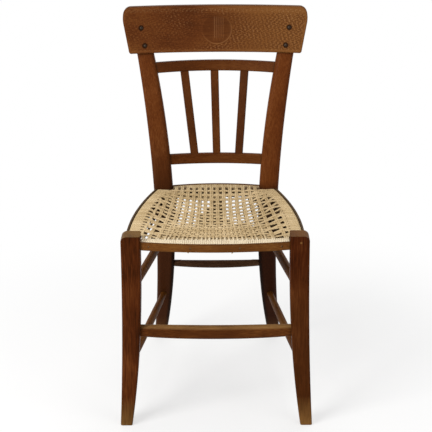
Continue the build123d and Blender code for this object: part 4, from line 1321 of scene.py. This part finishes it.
@dataclass
class PressedCrest:
    """The pressed relief on the crest board's front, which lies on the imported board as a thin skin.

    Sizes are in millimetres, and the medallion's are measured from its own middle.
    """

    # the board's face
    low: float = 772.0
    high: float = 877.0
    low_half: float = 204.0
    wide_half: float = 220.0
    top_half: float = 216.5
    wide_height: float = 849.7
    corner: float = 17.0
    margin: float = 4.0
    radius: float = 1111.0
    thickness: float = 14.5
    low_back: float = 434.33
    high_back: float = 471.6
    # the medallion
    ring_centre: Span = (4.0, 824.0)
    ring_radius: float = 35.4
    ring_width: float = 4.6
    ring_flatten: float = 0.93  # the ring's height over its width
    reed_pitch: float = 5.2
    reeds_across: Span = (-10.0, 17.5)
    reeds_up: Span = (-23.0, 31.0)
    block_pitch: float = 7.0
    blocks_across: Span = (-13.0, 17.0)
    blocks_up: Span = (-28.0, -22.5)
    bead_place: Span = (-18.0, 2.0)
    ring_height: float = 0.95
    reed_height: float = 0.9
    block_height: float = 0.7
    bead_height: float = 0.8
    field_height: float = 0.1
    # the scrolls
    scroll_mm: float = 5.0
    scroll_lengths: Span = (0.75, 1.7)  # the shortest and the longest wave, over scroll_mm
    scroll_stretch: Span = (0.8, 1.15)  # how much closer the waves stand across and up
    scroll_waves: int = 26
    scroll_band: Span = (-0.3, 0.9)  # the waves' sum, where a scroll begins and where it is full
    high_marks: Span = (0.9, 1.8)  # the same for the marks on the highest places
    low_marks: Span = (-0.8, -1.8)  # and for those in the lowest
    scroll_level: float = 0.42  # the height about which shallow scrolls lie
    mark_share: float = 0.4  # how much the marks add, most of it at the right, where the pale ones are painted highlights
    # the skin
    relief: float = 0.6
    base: float = 0.12  # how far a place of height 0 stands out of the board's face
    sink: float = 0.35  # how far the skin's rim lies in the board
    backing: float = 1.4  # how far its back does
    soft_rim: Span = (0.012, 0.05)  # the shares of the length and of the height in which the rim rises
    rubbed_band: Span = (0.84, 0.94)  # shares of the height between which the top is rubbed even
    screws: tuple[Span, ...] = ((167.4, 789.5), (176.0, 829.5))  # the right ones, across and up
    # how far round a screw head the painted shadow reaches
    screw_shadow_radius: float = 6.8
    columns: int = 440
    rows: int = 110
    seed: int = 11

    def half_width(self, z: Array) -> Array:
        """Half the board's length, straight between its three corners and rounded at the top.

        Args:
            z: Heights.

        Returns:
            Half the length at each height.
        """
        heights = [self.low, self.wide_height, self.high]
        halves = [self.low_half, self.wide_half, self.top_half]
        into = np.clip(z - (self.high - self.corner), 0, self.corner - 1e-6)
        return np.interp(z, heights, halves) - (self.corner - np.sqrt(self.corner**2 - into**2))

    def face(self, x: Array, z: Array) -> tuple[Array, Array]:
        """The board's front face and its outward direction.

        depth = back(z) - R + sqrt((R - t)^2 - x^2), where back leans linearly with height.

        Args:
            x: Places across.
            z: Heights.

        Returns:
            The points and the unit normals.
        """
        lean = (self.high_back - self.low_back) / (self.high - self.low)
        back = self.low_back + lean * (z - self.low)
        inner = self.radius - self.thickness
        root = np.sqrt(inner**2 - x**2)
        points = np.stack([x, back - self.radius + root, z], axis=-1)
        normal = np.stack([-x / root, -np.ones_like(x), np.full_like(x, lean)], axis=-1)
        return points, normal / np.linalg.norm(normal, axis=-1, keepdims=True)

    def scrolls(self, x: Array, z: Array) -> Array:
        """Worm-like scrolls: where a sum of plane waves of like length and random direction is high.

        The scrolls are deeper in some patches and to the right, and marks follow the highest and
        lowest places of the sum. The stronger scrolls and pale high marks toward the right are painted light.

        Args:
            x: Places across.
            z: Heights.

        Returns:
            A height, mostly from 0 to 1.
        """
        rng = np.random.default_rng(self.seed)
        wide, tall = x * self.scroll_stretch[0], z * self.scroll_stretch[1]
        waves = np.zeros_like(x)
        for _ in range(self.scroll_waves):
            angle = rng.uniform(0, np.pi)
            length = self.scroll_mm * rng.uniform(*self.scroll_lengths)
            phase = rng.uniform(0, 2 * np.pi)
            waves += np.sin(2 * np.pi * (wide * np.cos(angle) + tall * np.sin(angle)) / length + phase)
        waves /= np.sqrt(self.scroll_waves / 2)
        lines = smooth_step(*self.scroll_band, waves)
        marks = smooth_step(*self.high_marks, waves) - 0.7 * smooth_step(*self.low_marks, waves)
        patch = 0.5 + 0.25 * np.sin(x / 23 + 1.3 * np.sin(z / 17)) + 0.25 * np.sin(z / 14 - x / 41 + 2.0)
        depth = np.clip(0.45 + 0.4 * patch + 0.2 * smooth_step(60, 190, x), 0, 1.1)
        marked = self.mark_share * marks * (0.6 * patch + 0.4 * smooth_step(-60, 120, x))
        return self.scroll_level + (lines - self.scroll_level) * depth + marked

    def medallion(self, x: Array, z: Array) -> tuple[Array, Array]:
        """The round field: a raised rim, upright reeds, a row of blocks below them and a bead.

        The reeds and blocks are cosines cut off at the ends of their rows, and the rim and the bead
        fall off as exp(-distance^2).

        Args:
            x: Places across.
            z: Heights.

        Returns:
            The height, and how much of each place belongs to the field.
        """
        across, up = x - self.ring_centre[0], (z - self.ring_centre[1]) / self.ring_flatten
        distance = np.hypot(across, up)
        rim = np.exp(-(((distance - self.ring_radius) / (self.ring_width / 2)) ** 2) * 1.4)
        inside = smooth_step(self.ring_radius + 2.5, self.ring_radius - 1.0, distance)
        reeds = 0.5 + 0.5 * np.cos(2 * np.pi * across / self.reed_pitch)
        reeds = reeds * within(self.reeds_across, 1.5, across) * within(self.reeds_up, 1.5, up)
        blocks = 0.5 + 0.5 * np.cos(2 * np.pi * across / self.block_pitch)
        blocks = blocks * within(self.blocks_up, 1.0, up) * within(self.blocks_across, 2.0, across)
        bead_x, bead_z = self.bead_place
        bead = np.exp(-(((across - bead_x) ** 2 + (up - bead_z) ** 2) / 4.0))
        field = (self.reed_height + 0.2 * smooth_step(8, -8, across)) * reeds
        field = field + self.block_height * blocks + self.bead_height * bead + self.field_height
        # the rim stands higher toward its lower right, and so takes a paler tone there: a painted highlight
        lit = 1.0 + 0.3 * (0.5 * across - up) / np.maximum(distance, 1.0)
        height = self.ring_height * lit * rim + field * inside * (1 - rim)
        return height, np.clip(inside + rim, 0, 1)

    def build(self) -> bpy.types.Object:
        """Presses the relief as a closed skin, whose back and rim lie in the board.

        Returns:
            The piece.
        """
        shares = (np.linspace(-1, 1, self.columns), np.linspace(0, 1, self.rows))
        share_x, share_z = np.meshgrid(*shares, indexing="ij")
        z = self.low + self.margin + share_z * (self.high - self.low - 2 * self.margin)
        x = share_x * (self.half_width(z) - self.margin)
        field, share = self.medallion(x, z)
        rim = smooth_step(0, self.soft_rim[0], 1 - np.abs(share_x))
        rim = rim * smooth_step(0, self.soft_rim[1], np.minimum(share_z, 1 - share_z))
        tone = field * share + self.scrolls(x, z) * (1 - share)
        height = (self.relief * tone + self.base) * rim - self.sink * (1 - rim)
        rubbed = smooth_step(*self.rubbed_band, share_z)
        tone = tone * (1 - 0.6 * rubbed) + 0.75 * rubbed + 0.9 * smooth_step(0.05, 0.0, share_z)
        # round each screw head the relief is flattened and takes its deepest tone: a painted shadow
        for across, up in self.screws:
            distance = np.hypot(np.abs(x) - across, z - up)
            near = smooth_step(self.screw_shadow_radius + 1.0, self.screw_shadow_radius - 1.5, distance)
            tone = tone * (1 - near) - near
            height = height * (1 - near) + 0.05 * near
        points, normal = self.face(x, z)
        front = (points + normal * height[..., None]).reshape(-1, 3)
        behind = (points - normal * self.backing).reshape(-1, 3)
        count = self.columns * self.rows
        quads = grid_quads(self.columns, self.rows)
        edge = np.concatenate([
            np.arange(self.columns) * self.rows,
            (self.columns - 1) * self.rows + np.arange(1, self.rows),
            np.arange(self.columns - 2, -1, -1) * self.rows + self.rows - 1,
            np.arange(self.rows - 2, 0, -1),
        ])
        after = np.roll(edge, -1)
        sides = np.stack([edge, after, after + count, edge + count], axis=1)
        faces = np.concatenate([quads[:, ::-1], quads + count, sides[:, ::-1]])
        tones = {"tone": np.concatenate([tone.ravel(), np.zeros(count)])}
        return new_piece("crest_relief", np.concatenate([front, behind]), [faces], values=tones)


@dataclass(frozen=True)
class SoftLamp:
    """A square soft lamp: its place, the point that it faces, its side in metres and its power in watts."""

    name: str
    place: Place
    aim: Place
    size: float
    power: float

    def hang(self) -> None:
        """Hangs the lamp, whose -Z is turned to its aim and whose Y is up."""
        light = bpy.data.lights.new(self.name, "AREA")
        light.shape = "SQUARE"
        light.size = self.size
        light.energy = self.power
        back = np.array(self.place, float) - np.array(self.aim, float)
        back /= np.linalg.norm(back)
        right = np.cross([0.0, 0.0, 1.0], back)
        right /= np.linalg.norm(right)
        rows = np.stack([right, np.cross(back, right), back, self.place], axis=1).tolist()
        lamp = bpy.data.objects.new(self.name, light)
        lamp.matrix_world = Matrix([*rows, [0, 0, 0, 1]])
        bpy.context.scene.collection.objects.link(lamp)


@dataclass
class Studio:
    """The floor, the lamps and the camera. Lengths are in metres."""

    floor_half: float = 14.0
    floor_colour: str = "#f4f3f1"
    floor_glow: Span = (0.62, 1.0)  # the glow's share in the camera's view, near the chair and away from it
    glow_reach: Span = (0.35, 1.1)  # the distances between which it grows
    camera_place: Place = (0.02175, -2.71377, 1.40933)
    camera_pitch: float = 20.03
    camera_yaw: float = 0.45
    camera_roll: float = -0.38
    focal_pixels: float = 1229.15
    frame_pixels: float = 432.0
    sensor: float = 36.0
    clip_end: float = 100.0
    world_colour: str = "#fbfcff"
    world_strength: float = 0.45
    lamps: tuple[SoftLamp, ...] = (
        SoftLamp("key", (-2.1, -2.0, 2.3), (0.0, 0.0, 0.5), 1.5, 92.0),
        SoftLamp("fill", (2.0, -1.9, 1.6), (0.0, 0.0, 0.4), 1.6, 16.0),
        SoftLamp("top", (0.2, 0.6, 2.8), (0.0, 0.0, 0.45), 1.6, 18.0),
    )

    @staticmethod
    def seen(tree: bpy.types.NodeTree) -> bpy.types.NodeSocket:
        """Finds the rays that show a place to the camera, straight, in a gloss or through glass.

        Args:
            tree: The node tree.

        Returns:
            1 for such a ray and 0 for light that falls on the chair.
        """
        path = add(tree, "ShaderNodeLightPath")
        shown = add(tree, "ShaderNodeMath", None,
                    {0: path.outputs["Is Camera Ray"], 1: path.outputs["Is Glossy Ray"]},
                    operation="MAXIMUM")
        return add(tree, "ShaderNodeMath", None,
                   {0: shown.outputs[0], 1: path.outputs["Is Transmission Ray"]},
                   operation="MAXIMUM").outputs[0]

    def floor(self) -> None:
        """Lays a pale floor, whose own light in the camera's view keeps it near white.

        The glow grows with the distance from the middle, so the chair's soft shadow stays.
        """
        mesh = bpy.data.meshes.new("floor")
        half = self.floor_half
        corners = [(-half, -half, 0), (half, -half, 0), (half, half, 0), (-half, half, 0)]
        mesh.from_pydata(corners, [], [(0, 1, 2, 3)])
        floor = bpy.data.objects.new("floor", mesh)
        bpy.context.scene.collection.objects.link(floor)
        material, tree = new_material("pale_floor")
        paint = add(tree, "ShaderNodeBsdfDiffuse", {"Color": linear(self.floor_colour)})
        glow = add(tree, "ShaderNodeEmission", {"Color": (1, 1, 1, 1), "Strength": 1.0})
        place = add(tree, "ShaderNodeTexCoord").outputs["Object"]
        reach = add(tree, "ShaderNodeVectorMath", None, {0: place}, operation="LENGTH")
        near, far = self.glow_reach
        least, most = self.floor_glow
        away = add(tree, "ShaderNodeMapRange",
                   {"From Min": near, "From Max": far, "To Min": least, "To Max": most},
                   {"Value": reach.outputs["Value"]}, interpolation_type="SMOOTHSTEP")
        share = add(tree, "ShaderNodeMath", None, {0: self.seen(tree), 1: away.outputs[0]},
                    operation="MULTIPLY")
        mix = add(tree, "ShaderNodeMixShader", None,
                  {0: share.outputs[0], 1: paint.outputs[0], 2: glow.outputs[0]})
        add(tree, "ShaderNodeOutputMaterial", None, {"Surface": mix.outputs[0]})
        mesh.materials.append(material)

    def camera(self) -> None:
        """Sets up the camera from its turn, pitch and roll, and its focal length in pixels."""
        data = bpy.data.cameras.new("view")
        data.sensor_width = self.sensor
        data.lens = self.focal_pixels / self.frame_pixels * self.sensor
        data.clip_end = self.clip_end
        camera = bpy.data.objects.new("view", data)
        turn = (Matrix.Rotation(radians(self.camera_yaw), 4, "Z")
                @ Matrix.Rotation(radians(90 - self.camera_pitch), 4, "X")
                @ Matrix.Rotation(radians(self.camera_roll), 4, "Z"))
        camera.matrix_world = Matrix.Translation(self.camera_place) @ turn
        bpy.context.scene.collection.objects.link(camera)
        bpy.context.scene.camera = camera

    def world(self) -> None:
        """Fills the surroundings with even pale light, which the camera sees as white."""
        world = bpy.data.worlds.new("studio")
        bpy.context.scene.world = world
        world.use_nodes = True
        tree = world.node_tree
        tree.nodes.clear()
        even = add(tree, "ShaderNodeBackground",
                   {"Color": linear(self.world_colour), "Strength": self.world_strength})
        white = add(tree, "ShaderNodeBackground", {"Color": (1, 1, 1, 1), "Strength": 1.0})
        mix = add(tree, "ShaderNodeMixShader", None,
                  {0: self.seen(tree), 1: even.outputs[0], 2: white.outputs[0]})
        add(tree, "ShaderNodeOutputWorld", None, {"Surface": mix.outputs[0]})

    def build(self) -> None:
        """Sets up the whole studio."""
        self.floor()
        self.world()
        for lamp in self.lamps:
            lamp.hang()
        self.camera()
        bpy.context.scene.view_settings.view_transform = "Standard"


@dataclass
class Chair:
    """The chair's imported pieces, with the finish that each one gets."""

    left_leg: StainedBeech = StainedBeech(
        "left_leg_stain", Grain.UP, "#260e01", "#471f07", "#643616", "#785a2f",
        edge_wear=0.35, edge_shade=0.5, top_wear_and_light=0.95, foot_wear=0.65)
    right_leg: StainedBeech = StainedBeech(
        "right_leg_stain", Grain.UP, "#240b01", "#421b05", "#603417", "#755129",
        edge_wear=0.25, edge_shade=0.5, top_wear_and_light=0.6, foot_wear=1.6,
        spot=(185.8, -243.0, 446.0), gradient_colour="#432509", fade_mm=(420.0, 260.0), fade_share=0.4)
    # both posts grade to a dark colour below the seat and darken on their inward sides there: painted shade
    # under the seat
    left_post: StainedBeech = StainedBeech(
        "left_post_stain_and_shade", Grain.UP, "#421c07", "#5a2e10", "#704220", "#7b5329",
        foot_wear=0.4, gradient_colour="#31190b", fade_mm=(600.0, 400.0), shaded=0.75)
    right_post: StainedBeech = StainedBeech(
        "right_post_stain_and_shade", Grain.UP, "#441d08", "#5c2e10", "#70401d", "#775029",
        foot_wear=0.4, gradient_colour="#22100a", fade_mm=(470.0, 425.0), shaded=0.75)
    # the crest and its board grade to a paler colour toward the right end: painted light
    crest: StainedBeech = StainedBeech(
        "crest_stain_and_light", Grain.ACROSS, "#401e0a", "#582e12", "#6b401c", "#8e6740",
        edge_shade=0.0, gradient_colour="#744a23", fade_axis="X", fade_mm=(-60.0, 200.0), pressed=True)
    crest_back: StainedBeech = StainedBeech(
        "crest_board_stain_and_light", Grain.ACROSS, "#401e0a", "#613618", "#744923", "#4a2e17",
        edge_shade=0.9, top_wear_and_light=0.7, gradient_colour="#744a23", fade_axis="X",
        fade_mm=(-60.0, 200.0))  # its worn tone is a dark one, which its faces that look up take as a painted shade along the top edge
    rail: StainedBeech = StainedBeech(
        "rail_stain", Grain.ACROSS, "#3c1c08", "#522a0e", "#653b1a", "#724d2a")
    # one stain made paler on the middle spindle and darker on the right one: painted light and painted shade
    middle_spindle: StainedBeech = StainedBeech(
        "middle_spindle_stain_lit", Grain.UP, "#3e1d08", "#552d10", "#653918", "#77502a")
    left_spindle: StainedBeech = StainedBeech(
        "left_spindle_stain", Grain.UP, "#391a07", "#4d280e", "#5c3316", "#6d4a28")
    right_spindle: StainedBeech = StainedBeech(
        "right_spindle_stain_shaded", Grain.UP, "#341706", "#47240d", "#552e13", "#644122")
    # its tops take the paler worn tone: a painted highlight along the bar's top
    front_bar: StainedBeech = StainedBeech(
        "front_bar_stain_and_highlight", Grain.ACROSS, "#321505", "#4b260b", "#663b18", "#866239", top_wear_and_light=0.85)
    # a darker, greyer stain than the other bars: partly painted shade for the seat's shadow over it
    rear_bar: StainedBeech = StainedBeech(
        "rear_bar_stain_and_shade", Grain.ACROSS, "#301d11", "#472f1d", "#5c4330", "#7e634c")
    side_bar: StainedBeech = StainedBeech(
        "side_bar_stain", Grain.BACK, "#3f200a", "#5a3411", "#724a1e", "#8f6738")
    cross_strip: StainedBeech = StainedBeech(
        "cross_strip_stain", Grain.ACROSS, "#4a260a", "#613a17", "#774f23", "#976c3a")
    long_strip: StainedBeech = StainedBeech(
        "long_strip_stain", Grain.BACK, "#342514", "#4e3b23", "#655034", "#806744")
    plain: StainedBeech = StainedBeech(
        "bare_beech", Grain.ACROSS, "#a5845c", "#bf9c70", "#d0b085", "#d8bd98",
        gloss=0.3, roughness=0.6, edge_shade=0.0)
    screw: BlackenedSteel = BlackenedSteel("blackened_screws", "#15100c", "#453a30")
    nail: BlackenedSteel = BlackenedSteel("blackened_nails", "#3b2816", "#6a4c2c")
    cord: PaperCord = PaperCord("paper_cord", "#9b8259", "#bea57b", "#d5be97", "#3d230e", "#e2d3b6")

    def finishes(self) -> dict[str, StainedBeech | BlackenedSteel]:
        """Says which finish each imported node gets.

        Returns:
            Node to finish, for all but the woven net, which scene pieces replace.
        """
        return {
            "front_leg_left": self.left_leg, "front_leg_right": self.right_leg,
            "rear_post_left": self.left_post, "rear_post_right": self.right_post,
            "crest_rail": self.crest_back, "crest_screws": self.screw,
            "upper_back_rail": self.rail, "lower_back_rail": self.rail,
            "back_spindle_left": self.left_spindle, "back_spindle_middle": self.middle_spindle,
            "back_spindle_right": self.right_spindle,
            "front_stretcher": self.front_bar, "rear_stretcher": self.rear_bar,
            "upper_side_stretcher_left": self.side_bar, "upper_side_stretcher_right": self.side_bar,
            "lower_side_stretcher_left": self.side_bar, "lower_side_stretcher_right": self.side_bar,
            "seat_rail_front": self.plain, "seat_rail_rear": self.plain,
            "seat_rail_left": self.plain, "seat_rail_right": self.plain,
            "edge_strip_front": self.cross_strip, "edge_strip_rear": self.cross_strip,
            "edge_strip_left": self.long_strip, "edge_strip_right": self.long_strip,
            "strip_nails": self.nail,
        }

    def dress(self) -> None:
        """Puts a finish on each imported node."""
        made: dict[str, bpy.types.Material] = {}
        for node, finish in self.finishes().items():
            if finish.name not in made:
                made[finish.name] = finish.material()
            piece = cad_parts[node]
            if not piece.material_slots:
                piece.data.materials.append(None)
            for slot in piece.material_slots:
                slot.material = made[finish.name]
            log.info("%s: %s", node, finish.name)


def main() -> None:
    """Builds the chair's looks in order."""
    logging.basicConfig(level=logging.INFO, format="%(message)s")
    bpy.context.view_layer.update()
    chair = Chair()
    chair.dress()
    cord = chair.cord.material()
    seat = WovenSeat().build()
    for piece in seat:
        piece.data.materials.append(cord)
        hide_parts("seat_weave")
    relief = PressedCrest().build()
    relief.data.materials.append(chair.crest.material())
    Studio().build()


if __name__ == "__main__":
    main()
